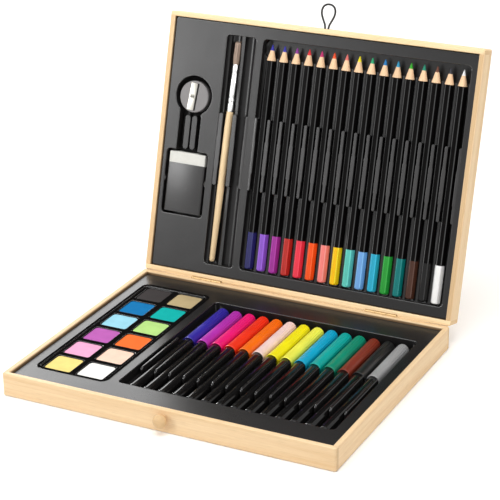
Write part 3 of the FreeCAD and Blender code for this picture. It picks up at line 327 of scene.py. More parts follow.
def slope_nubs(form, nubs, level):
    """Slopes the front ends of the grip nubs down."""
    front = min(corner.co.y for _, corners, _, _ in nubs for corner in corners)
    reach = 0.0026
    drop = 0.0017
    height = 0.0035
    slack = 0.0002
    for part in (0.3, 0.65, 1.0):
        cut_form(form, (0, front + part * reach, 0), (0, 1, 0))
    for corner in form.verts:
        away = (corner.co.y - front) / reach
        if -0.1 < away < 1 and corner.co.z > level - height and any(
                left - slack < corner.co.x < right + slack for _, _, left, right in nubs):
            corner.co.z -= drop * (1 - away) ** 2


def square_off(form):
    """Squares the outer edge of a hinge side's rim, which is left unsanded."""
    rim = max(corner.co.z for corner in form.verts)
    side = max(abs(corner.co.y) for corner in form.verts)
    for corner in form.verts:
        if (abs(corner.co.x) < SANDED_REACH and abs(corner.co.y) > side - SANDED
                and corner.co.z > rim - SANDED):
            corner.co.y = math.copysign(side, corner.co.y)
            corner.co.z = rim
    bmesh.ops.remove_doubles(form, verts=form.verts, dist=2e-6)


def add_object(name, data):
    """Adds an object to the scene."""
    added = bpy.data.objects.new(name, data)
    bpy.context.scene.collection.objects.link(added)
    return added


def make_piece(name, form, body, finishes, place=FLAT, stands_for=(), slot=None, turn=35,
               even=False):
    """Makes a form a piece of the case that rides on a body.

    Edges where it turns by more than some degrees stay sharp.  With even shading the flats set
    the normals of the bevels beside them.
    """
    mesh = bpy.data.meshes.new(name)
    form.transform(place)
    form.to_mesh(mesh)
    form.free()
    for finish in finishes:
        mesh.materials.append(finish)
    mesh.shade_smooth()
    mesh.set_sharp_from_angle(angle=math.radians(turn))
    piece = add_object(name, mesh)
    if even:
        shading = piece.modifiers.new("Even shading", "WEIGHTED_NORMAL")
        shading.keep_sharp = True
        shading.use_face_influence = True
    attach(piece, body)
    if stands_for:
        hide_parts(*stands_for)


def redress(node, finish):
    """Gives a frame node its finish."""
    frame["nodes"][node].data.materials.clear()
    frame["nodes"][node].data.materials.append(finish)


# ---- Finishes ----

class Wire:
    """A socket of a finish that takes part in ordinary arithmetic."""

    def __init__(self, finish, socket):
        self.finish = finish
        self.socket = socket

    def of(self, name):
        """Another output of the same node."""
        return Wire(self.finish, self.socket.node.outputs[name])

    def work(self, operation, *values):
        """Math node on this value and more."""
        return self.finish.add("ShaderNodeMath", {"operation": operation},
                               dict(enumerate((self,) + values)))

    def __add__(self, other):
        return self.work("ADD", other)

    def __sub__(self, other):
        return self.work("SUBTRACT", other)

    def __rsub__(self, other):
        return self.finish.add("ShaderNodeMath", {"operation": "SUBTRACT"}, {0: other, 1: self})

    def __mul__(self, other):
        return self.work("MULTIPLY", other)

    def __gt__(self, other):
        return self.work("GREATER_THAN", other)

    def __lt__(self, other):
        return self.work("LESS_THAN", other)

    __radd__ = __add__
    __rmul__ = __mul__


class Finish:
    """Nodes of the world, or of a material for pieces in one half of the case."""

    def __init__(self, owner, half=FLAT):
        owner.use_nodes = True
        self.owner = owner
        self.half = half
        self.tree = owner.node_tree
        self.tree.nodes.clear()

    def add(self, kind, settings=None, sockets=None, output=0):
        """Adds a node: its settings first, then the values or links of its sockets."""
        node = self.tree.nodes.new(kind)
        for name, value in (settings or {}).items():
            setattr(node, name, value)
        for key, value in (sockets or {}).items():
            if isinstance(value, Wire):
                self.tree.links.new(value.socket, node.inputs[key])
            else:
                node.inputs[key].default_value = value
        return Wire(self, node.outputs[output]) if node.outputs else None

    def place(self, stretch=1, centre=(0, 0, 0)):
        """Object coordinates in the flat frame of the half, centred and stretched.

        The stretch is one number, or one for each axis.
        """
        location, rotation, _ = self.half.decompose()
        by_axis = stretch if isinstance(stretch, tuple) else (stretch,) * 3
        point = self.add("ShaderNodeTexCoord").of("Object")
        point = self.add("ShaderNodeMapping", {"vector_type": "TEXTURE"},
                         {"Vector": point, "Location": location, "Rotation": rotation.to_euler()})
        point = self.add("ShaderNodeVectorMath", {"operation": "SUBTRACT"}, {0: point, 1: centre})
        return self.add("ShaderNodeVectorMath", {"operation": "MULTIPLY"}, {0: point, 1: by_axis})

    def noise(self, stretch, detail=2.0, roughness=0.5, centre=(0, 0, 0)):
        """Noise between about 0.3 and 0.7."""
        return self.add("ShaderNodeTexNoise", {},
                        {"Vector": self.place(stretch, centre), "Scale": 1.0, "Detail": detail,
                         "Roughness": roughness})

    def blend(self, factor, first, second):
        """Colour between two."""
        return self.add("ShaderNodeMix", {"data_type": "RGBA"}, {0: factor, 6: first, 7: second}, 2)

    def contrast(self, value, low=0.3, high=0.7, start=0.0, end=1.0):
        """A value moved from one range to another, and kept inside it."""
        return self.add("ShaderNodeMapRange", {}, {0: value, 1: low, 2: high, 3: start, 4: end})

    def bump(self, height, strength, distance):
        """Normal of a surface with small relief."""
        return self.add("ShaderNodeBump", {},
                        {"Strength": strength, "Distance": distance, "Height": height})

    def surface(self, sockets):
        """Ends the material in a principled surface and returns the material."""
        shader = self.add("ShaderNodeBsdfPrincipled", {}, sockets)
        self.add("ShaderNodeOutputMaterial", {}, {"Surface": shader})
        return self.owner


def new_finish(name, half=FLAT):
    """An empty material to build in."""
    return Finish(bpy.data.materials.new(name), half)


def scaled(colour, amount):
    """Lighter or darker colour."""
    return tuple(min(1.0, v * amount) for v in colour[:3]) + (1.0,)


def wood_finish(name, along, light, deep, half=FLAT, centre=(0, 0, 0), gloss=0.5, ends=True,
                seam=0):
    """Sanded and lacquered pale wood whose grain runs along one axis, 0 to 2.

    A seam is the height up to which the inner sides are darkened with painted shade, where they meet
    the insert.
    """
    finish = new_finish(name, half)

    def grain(across, length, detail, shift):
        """Noise drawn out along the board."""
        stretch = [across] * 3
        stretch[along] = length
        return finish.noise(tuple(stretch), detail, 0.55, [c + shift for c in centre])

    bands = finish.contrast(grain(110, 4, 2, 0.31))
    fibres = finish.contrast(grain(700, 14, 3, 0.07))
    pores = finish.contrast(grain(2600, 110, 1, 0.013), 0.58, 0.72)
    colour = finish.blend(bands * 0.6 + fibres * 0.4, deep, light)
    colour = finish.blend(pores * 0.28, colour, scaled(deep, 0.72))
    if ends:
        normal = finish.add("ShaderNodeTexCoord").of("Normal")
        facing = finish.add("ShaderNodeSeparateXYZ", {}, {"Vector": normal}, along)
        end_grain = facing.work("ABSOLUTE") > 0.9
        pith = finish.contrast(finish.noise(1900, 2.0, 0.6, centre))
        colour = finish.blend(end_grain * (0.55 + pith * 0.35), colour, scaled(deep, 0.8))
    # Painted shade on the walls' inner sides, from the seam height down to the insert.
    if seam:
        spot = finish.add("ShaderNodeSeparateXYZ", {}, {"Vector": finish.place()})
        inside = ((spot.of("X").work("ABSOLUTE") < INNER_REACH[0])
                  * (spot.of("Y").work("ABSOLUTE") < INNER_REACH[1]))
        low = finish.contrast(spot.of("Z"), seam - 0.001, seam, 0.85, 0.0)
        colour = finish.blend(inside * low, colour, SEAM_SHADE_COLOUR)
    return finish.surface({
        "Base Color": colour,
        "Roughness": gloss + 0.12 * (1 - fibres),
        "Specular IOR Level": 0.35,
        "Normal": finish.bump(fibres * 0.6 - pores, 0.35, 0.00008),
    })


def formed_sheet(name, colour, half, shine=0.34, gloss=0.2):
    """Satin black sheet, drawn over a mould: faintly wavy, with a fine tooth."""
    finish = new_finish(name, half)
    tooth = finish.noise(2400, 2.0, 0.6)
    wave = finish.noise(38, 1.0, 0.4)
    dust = finish.contrast(finish.noise(900, 3.0, 0.7), 0.62, 0.78)
    return finish.surface({
        "Base Color": finish.blend(dust * 0.4, colour, scaled(colour, 2.2)),
        "Roughness": gloss + 0.14 * tooth + 0.05 * wave,
        "Specular IOR Level": shine,
        "Normal": finish.bump(tooth * 0.25 + wave * 4, 0.3, 0.00012),
    })


def moulded_plastic(name, colour, gloss, half=FLAT, centre=(0, 0, 0), drawn=40, shine=0.5):
    """Moulded plastic with faint flow lines along Y and small scuffs."""
    finish = new_finish(name, half)
    flow = finish.contrast(finish.noise((900, drawn, 900), centre=centre))
    scuffs = finish.contrast(finish.noise((500, 160, 500), 3.0, 0.7, centre), 0.6, 0.74)
    shade = finish.noise((60, 45, 60), 1.0, centre=centre)
    toned = finish.blend(shade, scaled(colour, 0.93), scaled(colour, 1.06))
    return finish.surface({
        "Base Color": finish.blend(scuffs * 0.12, toned, scaled(colour, 1.35)),
        "Roughness": gloss + 0.05 * flow + 0.14 * scuffs,
        "Specular IOR Level": shine,
        "Normal": finish.bump(flow, 0.12, 0.00005),
    })


def lacquer_finish(name, colour, half, gloss=0.16, shine=0.5, coat=0.25):
    """Dipped lacquer over turned wood, with the grain just telegraphing through."""
    finish = new_finish(name, half)
    fibre = finish.contrast(finish.noise((1300, 30, 1300)))
    pool = finish.noise((260, 120, 260), 1.0)
    return finish.surface({
        "Base Color": finish.blend(pool, scaled(colour, 0.88), scaled(colour, 1.1)),
        "Roughness": gloss + 0.07 * fibre,
        "Specular IOR Level": shine,
        "Coat Weight": coat,
        "Coat Roughness": 0.12,
        "Normal": finish.bump(fibre + pool * 1.5, 0.2, 0.00006),
    })


def core_finish(name, colour, half):
    """Sharpened coloured lead: waxy, with turning marks and crumbs of pigment."""
    finish = new_finish(name, half)
    marks = finish.contrast(finish.noise((300, 4200, 300)))
    crumbs = finish.contrast(finish.noise(3500), 0.35, 0.65)
    return finish.surface({
        "Base Color": finish.blend(crumbs, scaled(colour, 0.8), scaled(colour, 1.12)),
        "Roughness": 0.5 + 0.2 * marks,
        "Normal": finish.bump(marks + crumbs, 0.3, 0.00006),
    })


def paint_finish(name, colour):
    """Pressed watercolour: matt, grainy and slightly uneven in tone."""
    finish = new_finish(name)
    grit = finish.noise(3800, 3.0, 0.65)
    cloud = finish.contrast(finish.noise(130, 3.0))
    pits = finish.contrast(finish.noise(1500), 0.64, 0.76)
    colour = finish.blend(cloud, scaled(colour, 0.94), scaled(colour, 1.04))
    return finish.surface({
        "Base Color": finish.blend(pits * 0.3, colour, finish.blend(0.25, colour, (0, 0, 0, 1))),
        "Roughness": 0.78 + 0.15 * grit,
        "Specular IOR Level": 0.1,
        "Normal": finish.bump(grit - pits, 0.45, 0.0001),
    })


def metal_finish(name, colour, gloss, half=FLAT, stretch=(400, 4000, 4000), wear=0.35):
    """Plated or ground metal with fine lines and a few spots of wear."""
    finish = new_finish(name, half)
    lines = finish.contrast(finish.noise(stretch, 2.0, 0.6))
    spots = finish.contrast(finish.noise(420, 3.0, 0.65), 0.58, 0.75)
    return finish.surface({
        "Base Color": finish.blend(spots * wear, colour, scaled(colour, 0.7)),
        "Metallic": 1.0,
        "Roughness": gloss + 0.1 * lines + 0.4 * wear * spots,
        "Normal": finish.bump(lines, 0.15, 0.00003),
    })


def braid_finish(name, colour):
    """Round braided elastic: two sets of plaits that cross, along the cord's own map."""
    finish = new_finish(name)
    map_point = finish.add("ShaderNodeTexCoord").of("UV")
    parts = finish.add("ShaderNodeSeparateXYZ", {}, {"Vector": map_point})
    round_cord = parts.of("Y") * (math.tau * 4)
    along = parts.of("X") * (math.tau * 34)
    plait = (along + round_cord).work("SINE") * (along - round_cord).work("SINE")
    lift = finish.contrast(plait, -1.0, 1.0)
    thread = finish.noise(6000, 1.0)
    return finish.surface({
        "Base Color": finish.blend(lift, scaled(colour, 0.55), scaled(colour, 1.9)),
        "Roughness": 0.72 + 0.2 * thread,
        "Sheen Weight": 0.2,
        "Normal": finish.bump(lift * 0.8 + thread * 0.4, 0.6, 0.00012),
    })


def hair_finish(name, colour, half):
    """Soft brush hair, streaked along its length."""
    finish = new_finish(name, half)
    strands = finish.contrast(finish.noise((2400, 45, 2400), 3.0, 0.6), 0.35, 0.65)
    return finish.surface({
        "Base Color": finish.blend(strands, scaled(colour, 0.45), scaled(colour, 1.5)),
        "Roughness": 0.45 + 0.2 * strands,
        "Normal": finish.bump(strands, 0.6, 0.0001),
    })


def card_finish(name, colour, half, centre):
    """Varnished black card with a faint fibre, which bulges a little over what it wraps."""
    finish = new_finish(name, half)
    off = finish.place((60, 45, 45), centre)
    bulge = 1 - finish.add("ShaderNodeVectorMath", {"operation": "DOT_PRODUCT"}, {0: off, 1: off}, 1)
    fibre = finish.noise((1600, 1100, 1600), 4.0, 0.7)
    rub = finish.contrast(finish.noise(210, 4.0, 0.7), 0.56, 0.78)
    return finish.surface({
        "Base Color": finish.blend(rub * 0.5, colour, scaled(colour, 2.4)),
        "Roughness": 0.24 + 0.12 * fibre + 0.12 * rub,
        "Normal": finish.bump(bulge * 18 + fibre * 0.25, 1.0, 0.00006),
    })


def rubber_finish(name, colour, half):
    """Soft vinyl or rubber with a chalky bloom."""
    finish = new_finish(name, half)
    bloom = finish.contrast(finish.noise(320, 3.0))
    grain = finish.noise(2600)
    return finish.surface({
        "Base Color": finish.blend(bloom, scaled(colour, 0.93), colour),
        "Roughness": 0.55 + 0.25 * grain,
        "Normal": finish.bump(grain, 0.3, 0.00008),
    })


# ---- Stage ----

# The camera's place, the way that it looks and the way to its right, and its lens.
CAMERA_PLACE = (0.5702, -1.0936, 0.6160)
CAMERA_AHEAD = (-0.41609, 0.82225, -0.38828)
CAMERA_RIGHT = (0.89454, 0.44681, -0.01241)
CAMERA_LENS = 134.57
# Lamps: place, aim, width, height and power.
LAMPS = {
    "key_softbox": ((-1.02, -1.12, 0.54), (0, 0.05, 0.08), 0.5, 0.6, 11),
    "top_softbox": ((0.15, -0.25, 1.5), (0, 0, 0.05), 1.3, 0.9, 15),
    "back_softbox": ((-0.86, 1.15, 0.6), (-0.1, 0, 0.02), 0.6, 0.4, 3.6),
    "side_softbox": ((1.35, -0.25, 0.5), (0.1, 0, 0.05), 0.8, 0.7, 5),
    "edge_strip": ((-0.9, 0.75, 0.55), (0, 0, 0.02), 0.03, 0.7, 4),
}
# Light of the world on the case; where the world is seen, it is 1.
WORLD_LIGHT = 0.36
# Glow of the ground where it is seen, near the case and far away, and where it changes.
NEAR_GLOW = (0.08, 0.08, 0.08, 1)
FAR_GLOW = (0.62, 0.62, 0.62, 1)
GLOW_REACH = (0.7, 3.0)


def add_camera():
    """Camera with a long lens, before the case, to its right and above it."""
    camera = bpy.data.cameras.new("studio_camera")
    camera.sensor_width = 36.0
    camera.lens = CAMERA_LENS
    camera.clip_start = 0.05
    ahead = Vector(CAMERA_AHEAD).normalized()
    right = Vector(CAMERA_RIGHT).normalized()
    turn = Matrix((right, right.cross(ahead), -ahead)).transposed()
    view = add_object("studio_camera", camera)
    view.matrix_world = Matrix.Translation(CAMERA_PLACE) @ turn.to_4x4()
    bpy.context.scene.camera = view


def soft_lamp(name, place, aim, width, height, power):
    """Rectangular lamp that faces a point."""
    light = bpy.data.lights.new(name, "AREA")
    light.shape = "RECTANGLE"
    light.size = width
    light.size_y = height
    light.energy = power
    lamp = add_object(name, light)
    facing = (Vector(aim) - Vector(place)).to_track_quat("-Z", "Y")
    lamp.matrix_world = Matrix.Translation(place) @ facing.to_matrix().to_4x4()


def seen_plainly(finish):
    """1 for rays that show what lies behind the case, and 0 for the light on it."""
    rays = finish.add("ShaderNodeLightPath")
    seen = rays.of("Is Camera Ray") + rays.of("Is Glossy Ray") + rays.of("Is Transmission Ray")
    return seen.work("MINIMUM", 1.0)


def ground_finish():
    """White paper that glows a little where it is seen and is plain for the light on the case."""
    finish = new_finish("ground_white")
    white = finish.blend(finish.noise(60), (0.97, 0.965, 0.955, 1), (1, 0.995, 0.985, 1))
    lit = finish.add("ShaderNodeBsdfDiffuse", {}, {"Color": white})
    away = finish.add("ShaderNodeVectorMath", {"operation": "LENGTH"}, {0: finish.place()}, 1)
    colour = finish.blend(finish.contrast(away, *GLOW_REACH), NEAR_GLOW, FAR_GLOW)
    glow = finish.add("ShaderNodeEmission", {}, {"Color": colour})
    shown = finish.add("ShaderNodeAddShader", {}, {0: lit, 1: glow})
    plain = finish.add("ShaderNodeBsdfDiffuse", {}, {"Color": (0.8, 0.79, 0.78, 1)})
    both = finish.add("ShaderNodeMixShader", {}, {0: seen_plainly(finish), 1: plain, 2: shown})
    finish.add("ShaderNodeOutputMaterial", {}, {"Surface": both})
    return finish.owner


def add_ground():
    """Wide ground just under the case."""
    form = bmesh.new()
    bmesh.ops.create_grid(form, x_segments=1, y_segments=1, size=9.0)
    bmesh.ops.translate(form, vec=(0, 0, -0.0003), verts=form.verts)
    mesh = bpy.data.meshes.new("ground")
    form.to_mesh(mesh)
    form.free()
    mesh.materials.append(ground_finish())
    ground = add_object("ground", mesh)
    ground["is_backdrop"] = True


def add_world():
    """White world that is brighter where it is seen than where it lights the case."""
    world = bpy.data.worlds.new("studio_world")
    bpy.context.scene.world = world
    finish = Finish(world)
    strength = WORLD_LIGHT + (1 - WORLD_LIGHT) * seen_plainly(finish)
    sky = finish.add("ShaderNodeBackground", {}, {"Color": (1, 1, 1, 1), "Strength": strength})
    finish.add("ShaderNodeOutputWorld", {}, {"Surface": sky})


# ---- Pieces ----

def tablet_form(low, high):
    """Pressed tablet with round corners and a soft top edge."""
    form = block_form(low, high)
    soften(form, upright_edges(form), 0.003, 6)
    soften(form, level_edges(form, high[2]), 0.0004)
    return form


def flange_form(low, high):
    """Thin flange with round corners, open in the middle."""
    form = block_form(low, high)
    soften(form, upright_edges(form), 0.006, 8)
    top, bottom = (pick(form.faces, key=lambda part: part.calc_center_median().z)
                   for pick in (max, min))
    for part in (top, bottom):
        bmesh.ops.inset_region(form, faces=[part], thickness=0.0026, use_even_offset=True)
    loops = list(top.edges) + list(bottom.edges)
    bmesh.ops.delete(form, geom=[top, bottom], context="FACES_ONLY")
    bmesh.ops.bridge_loops(form, edges=loops)
    bmesh.ops.recalc_face_normals(form, faces=form.faces)
    soften(form, level_edges(form, high[2]), 0.0001, 2)
    return form


def barrel_form():
    """Marker barrel with its neck, section and nib."""
    profile = ((0, 0), (0, 2.6), (0.25, 3.5), (0.8, 4.1), (1.6, 4.36), (2.6, 4.4), (84.6, 4.4),
               (84.9, 4.25), (97.5, 4.0), (97.5, 3.1), (113, 2.0), (113, 1.1), (118.5, 0.9),
               (119.2, 0.45), (119.3, 0))
    return turned_form(in_metres(profile), 40)


def cap_form(rib_depth):
    """Marker cap: turned first, then pressed in between the grip ribs."""
    profile = ((57.0, 0), (57.0, 4.0), (0.4, 4.1), (0.4, 4.35), (0.0, 4.5), (0.0, 4.86),
               (0.18, 5.0), (1.5, 5.0), (1.8, 4.9), (20.0, 4.9), (25.0, 4.93), (26.0, 4.93),
               (56.6, 4.93), (57.4, 4.76), (57.9, 4.3), (58.0, 3.6), (58.0, 0))
    form = turned_form(in_metres(profile, CAP_START), CAP_STEPS)
    grooves = [corner for corner in form.verts
               if corner.co.xz.length > 0.0047 and RIBBED[0] < corner.co.y < RIBBED[1]
               and round(math.atan2(corner.co.z, corner.co.x) * CAP_STEPS / math.tau) % 4 == 0]
    amount = 1 - rib_depth / CAP_RADIUS
    bmesh.ops.scale(form, vec=(amount, 1, amount), verts=grooves)
    return form


def pencil_form(length, sizes):
    """Sharpened pencil: turned first, then planed to six flats."""
    shoulder = length - sizes.cone
    profile = ((0, 0), (0, 0.0022), (0.0003, 0.0030), (0.0009, 0.0035), (0.0018, PENCIL_RADIUS),
               (shoulder, PENCIL_RADIUS), (length - 0.0003, 0.00045), (length, 0.0002), (length, 0))
    form = turned_form(profile, 48)
    for number in range(6):
        turn = math.pi * (2 * number + 1) / 6
        across = Vector((math.cos(turn), 0, math.sin(turn)))
        rim = cut_form(form, across * sizes.flats / 2, across, True)
        bmesh.ops.edgenet_fill(form, edges=rim)
    return form


def divide_pencil(form, length, sizes):
    """Cuts a pencil where its finishes meet and gives each face the number of its own.

    The body is 0, the dipped end 1, the cone 2 and the lead 3.  The round edges between the
    flats are 4 on the body and 5 on the dipped end.
    """
    cone_start = length - sizes.cone + 0.00065
    lead_start = length - sizes.lead
    for along in (sizes.dip, cone_start, lead_start):
        cut_form(form, (0, along, 0), (0, 1, 0))
    bmesh.ops.recalc_face_normals(form, faces=form.faces)
    for face in form.faces:
        middle = face.calc_center_median()
        rounded = middle.xz.length > PENCIL_EDGE
        if middle.y < sizes.dip:
            face.material_index = 5 if rounded else 1
        elif middle.y > lead_start:
            face.material_index = 3
        elif middle.y > cone_start:
            face.material_index = 2
        elif rounded:
            face.material_index = 4


def end_of_node(node, pick):
    """Middle of the corners at the lowest or highest end of a node in the flat lid."""
    back = UPRIGHT.inverted()
    corners = [back @ vertex.co for vertex in frame["nodes"][node].data.vertices]
    edge = pick(corner.y for corner in corners)
    near = [corner for corner in corners if abs(corner.y - edge) < 0.0002]
    return sum(near, Vector()) / len(near)


def strands_form():
    """Hairs that end unevenly, spread over the cut end of the brush's hair."""
    count = 80
    golden_angle = 2.39996
    reach = 0.00265
    foot_at = 0.1635
    form = bmesh.new()
    for number in range(count):
        turn = number * golden_angle
        out = reach * math.sqrt((number + 6) / (count + 6))
        strand = bmesh.ops.create_cone(form, cap_ends=True, segments=5, radius1=0.0002,
                                       radius2=0.00004, depth=1.0)["verts"]
        foot = Vector((out * math.cos(turn), foot_at, out * math.sin(turn)))
        head = Vector((foot.x * 0.9, 0.1742 + 0.0024 * ((number * 11) % 7) / 7, foot.z * 0.9))
        lay = Vector((0, 0, 1)).rotation_difference(head - foot).to_matrix().to_4x4()
        fit = (Matrix.Translation((head + foot) / 2) @ lay
               @ Matrix.Diagonal((1, 1, (head - foot).length, 1)))
        bmesh.ops.transform(form, matrix=fit, verts=strand)
    return form


# ---- Operators ----

class CaseOperator(bpy.types.Operator):
    """Common ground of the case's operators."""
    bl_options = {"REGISTER", "UNDO"}

    @property
    def colours(self):
        """The case's colours."""
        return bpy.context.scene.case_colours

    @property
    def sizes(self):
        """The case's small sizes."""
        return bpy.context.scene.case_sizes


class CASE_OT_stage(CaseOperator):
    """Sets up the camera, the white ground, the lamps and the world"""
    bl_idname = "colouring_case.stage"
    bl_label = "Stage"

    def execute(self, context):
        """Adds everything round the case."""
        add_camera()
        add_ground()
        add_world()
        for name, settings in LAMPS.items():
            soft_lamp(name, *settings)
        return {"FINISHED"}


class CASE_OT_closure_loop(CaseOperator):
    """Adds the elastic loop of the closure"""
    bl_idname = "colouring_case.closure_loop"
    bl_label = "Elastic loop"

    def execute(self, context):
        """Runs a braided cord out of the lid's front board and back."""
        side = ((1.15, 100.0), (1.15, 106.0), (3.7, 110.8), (5.8, 115.6), (5.3, 120.2),
                (2.4, 122.8))
        route = list(side) + [(-x, y) for x, y in reversed(side)]
        level = 0.008425
        line = bpy.data.curves.new("closure_loop_line", "CURVE")
        line.dimensions = "3D"
        line.resolution_u = 14
        spline = line.splines.new("NURBS")
        spline.points.add(len(route) - 1)
        for point, (x, y) in zip(spline.points, route):
            point.co = (UPRIGHT @ Vector((x / 1000, y / 1000, level))).to_4d()
        spline.order_u = 3
        spline.use_endpoint_u = True
        run = add_object("closure_loop_line", line)
        centre_line = bpy.data.meshes.new_from_object(run)
        path = [vertex.co.copy() for vertex in centre_line.vertices]
        line.bevel_depth = self.sizes.cord / 2
        line.bevel_resolution = 5
        mesh = bpy.data.meshes.new_from_object(run)
        mesh.name = "closure_loop"
        bpy.data.objects.remove(run)
        mesh.materials.clear()
        mesh.materials.append(braid_finish("braided_elastic", self.colours.cord[:]))
        loop = add_object("closure_loop", mesh)
        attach(loop, "lid")
        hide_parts("elastic_loop")
        length = sum((b - a).length for a, b in zip(path, path[1:]))
        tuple(path[0])
        redress("elastic_knot", rubber_finish("knotted_elastic", self.colours.cord[:], UPRIGHT))
        return {"FINISHED"}


class CASE_OT_boards(CaseOperator):
    """Dresses the boards and panels of both halves in sanded wood"""
    bl_idname = "colouring_case.boards"
    bl_label = "Boards"

    def execute(self, context):
        """Gives every board a grain along its own length."""
        light, deep = self.colours.wood_light[:], self.colours.wood_deep[:]
        for half, place in HALVES.items():
            top = flat_box(half + "_insert", place)[1].z + SEAM_HEIGHT
            for number, (board, along) in enumerate([*WALLS.items(), (PANELS[half], 0)]):
                wall = board in WALLS
                node = half + "_" + board
                # Painted light: these lid boards get a paler copy of the wood where the lamps fall
                # brighter on them.
                pale = PAINTED_LIGHT_GAIN if node in PAINTED_LIGHT_BOARDS else 1.0
                finish = wood_finish(node + "_wood", along, scaled(light, pale), scaled(deep, pale),
                                     place, tuple(step * number for step in GRAIN_STEP),
                                     ends=wall, seam=top if wall else 0)
                form = node_form(node, place)
                if board == "back_wall":
                    square_off(form)
                make_piece(node.replace("_wall", "_board"), form, half, [finish], place, [node],
                           "pine" if wall else "pine_panel", even=True)
        return {"FINISHED"}


class CASE_OT_knob(CaseOperator):
    """Adds the turned knob of the closure"""
    bl_idname = "colouring_case.knob"
    bl_label = "Knob"

    def execute(self, context):
        """Turns the knob out of one piece of wood."""
        low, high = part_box("closure_knob")
        profile = ((0.0, 0), (0.0, 2.4), (3.9, 2.4), (4.0, 3.5), (4.5, 3.15), (5.2, 3.25),
                   (5.8, 3.9), (6.5, 4.6), (7.4, 5.02), (8.4, 5.1), (9.4, 4.85), (10.3, 4.2),
                   (10.9, 3.3), (11.3, 2.1), (11.45, 1.0), (11.5, 0))
        form = turned_form(in_metres(profile), 48)
        middle = (low[2] + high[2]) / 2
        place = Matrix.Translation((0, high[1], middle)) @ Matrix.Rotation(math.pi, 4, "Z")
        warm = tuple(a * b for a, b in zip(self.colours.wood_light[:], KNOB_WARMTH))
        finish = wood_finish("knob_wood", 1, warm, scaled(warm, 0.78), centre=(0, 0, 0.01),
                             gloss=0.36, ends=False)
        make_piece("turned_knob", form, "base", [finish], place, ["closure_knob"], "pine", 50)
        return {"FINISHED"}


class CASE_OT_hinges(CaseOperator):
    """Dresses the hinges, their pins and their screws"""
    bl_idname = "colouring_case.hinges"
    bl_label = "Hinges"

    def execute(self, context):
        """Softens the pressed edges and plates the metal."""
        brass = metal_finish("plated_brass", self.colours.brass[:], 0.4)
        for half in HALVES:
            for part in ("leaves", "screws"):
                node = "hinge_%s_%s" % (half, part)
                form = node_form(node)
                soften(form, sharp_edges(form), 0.00008, 2)
                make_piece("%s_%s_plated" % (half, part), form, half, [brass], FLAT, [node],
                           "hinge_steel", even=True)
        redress("hinge_pins", brass)
        return {"FINISHED"}


class CASE_OT_inserts(CaseOperator):
    """Adds the formed inserts of the base and the lid"""
    bl_idname = "colouring_case.inserts"
    bl_label = "Inserts"

    def execute(self, context):
        """Softens the mouths of the wells, as drawn sheet has them."""
        black = self.colours.insert[:]
        for half, place in HALVES.items():
            node = half + "_insert"
            form = node_form(node, place)
            level = max(corner.co.z for corner in form.verts)
            nubs = list(nub_tops(form, level))
            for island, _, _, _ in nubs:
                for face in island:
                    face.material_index = 1
            if half == "base":
                slope_nubs(form, nubs, level)
            else:
                flare_nubs(form, nubs, self.sizes.nub_flare)
            soften(form, level_edges(form, level), self.sizes.mouth)
            # The sloping faces at the wells' mouths get a lighter copy of the sheet's colour, a
            # painted highlight, with more gloss.
            for face in form.faces:
                if (not face.material_index and 0.1 < face.normal.z < 0.97
                        and face.calc_center_median().z > level - 0.0007):
                    face.material_index = 2
            # The nub tops get a lighter or darker copy of the sheet's colour: painted light in the
            # lid, painted shade in the base.
            brightness, gloss = NUB_LOOK[half]
            finishes = [formed_sheet(node + "_sheet", black, place),
                        formed_sheet(node + "_nubs", scaled(black, brightness), place, 0.5, gloss),
                        formed_sheet(node + "_edges", scaled(black, 1.3), place, 0.9, 0.08)]
            make_piece("formed_" + node, form, half, finishes, place, [node], "black_insert", 30,
                       even=True)
        return {"FINISHED"}


class CASE_OT_paints(CaseOperator):
    """Adds the paint tray and its twelve tablets"""
    bl_idname = "colouring_case.paints"
    bl_label = "Paints"

    def execute(self, context):
        """Moulds the tray and its flange and presses a tablet into each pocket."""
        form = node_form("paint_tray")
        low, high = flat_box("paint_tray")
        soften(form, level_edges(form, high.z, high.z - 0.0004), self.sizes.tray_mouth)
        mark_slopes(form)
        black = self.colours.tray[:]
        finishes = [moulded_plastic("tray_plastic", black, 0.34, drawn=700, shine=0.0),
                    moulded_plastic("tray_rims", black, 0.1, drawn=700, shine=0.9)]
        make_piece("moulded_tray", form, "paint_set", finishes, FLAT, ["paint_tray"], "paint_tray",
                   30, even=True)

        seat = flat_box("base_insert")[1].z + FLANGE_GAP
        form = flange_form((low.x - FLANGE_REACH, low.y - FLANGE_REACH, seat),
                           (high.x + FLANGE_REACH, high.y + FLANGE_REACH, seat + FLANGE_THICKNESS))
        mark_slopes(form)
        make_piece("tray_flange", form, "paint_set", finishes, FLAT, (), "paint_tray", 40, even=True)

        low, high = flat_box("paint_tablets")
        side = TABLET_SIDE
        for row, pair in enumerate(PAINTS):
            for column, code in enumerate(pair):
                x = low.x + column * (high.x - low.x - side)
                y = high.y - side - row * (high.y - low.y - side) / (len(PAINTS) - 1)
                form = tablet_form((x, y, low.z), (x + side, y + side, high.z))
                name = "tablet_row%d_%s" % (row + 1, ("left", "right")[column])
                finish = paint_finish(name + "_paint", tone(code))
                make_piece(name, form, "paint_set", [finish], FLAT, ["paint_tablets"], "paint", 40,
                           even=True)
        return {"FINISHED"}


class CASE_OT_markers(CaseOperator):
    """Adds the felt-tip markers, each a barrel and a ribbed cap"""
    bl_idname = "colouring_case.markers"
    bl_label = "Markers"

    def execute(self, context):
        """Turns each barrel and cap and presses the grip ribs into the cap."""
        for node, code in CAPS.items():
            body = node[:9]
            low, high = flat_box(node)
            axis = Vector(((low.x + high.x) / 2, low.y, (low.z + high.z) / 2))
            place = Matrix.Translation(axis)
            finish = moulded_plastic(node + "_barrel", self.colours.barrel[:], 0.08, centre=axis,
                                     shine=0.2)
            make_piece(body + "_barrel", barrel_form(), body, [finish], place, [node], node, 40)
            form = cap_form(self.sizes.rib_depth)
            finish = moulded_plastic(node + "_cap", tone(code), 0.34, centre=axis)
            make_piece(body + "_cap", form, body, [finish], place, (), node, 50)
        return {"FINISHED"}


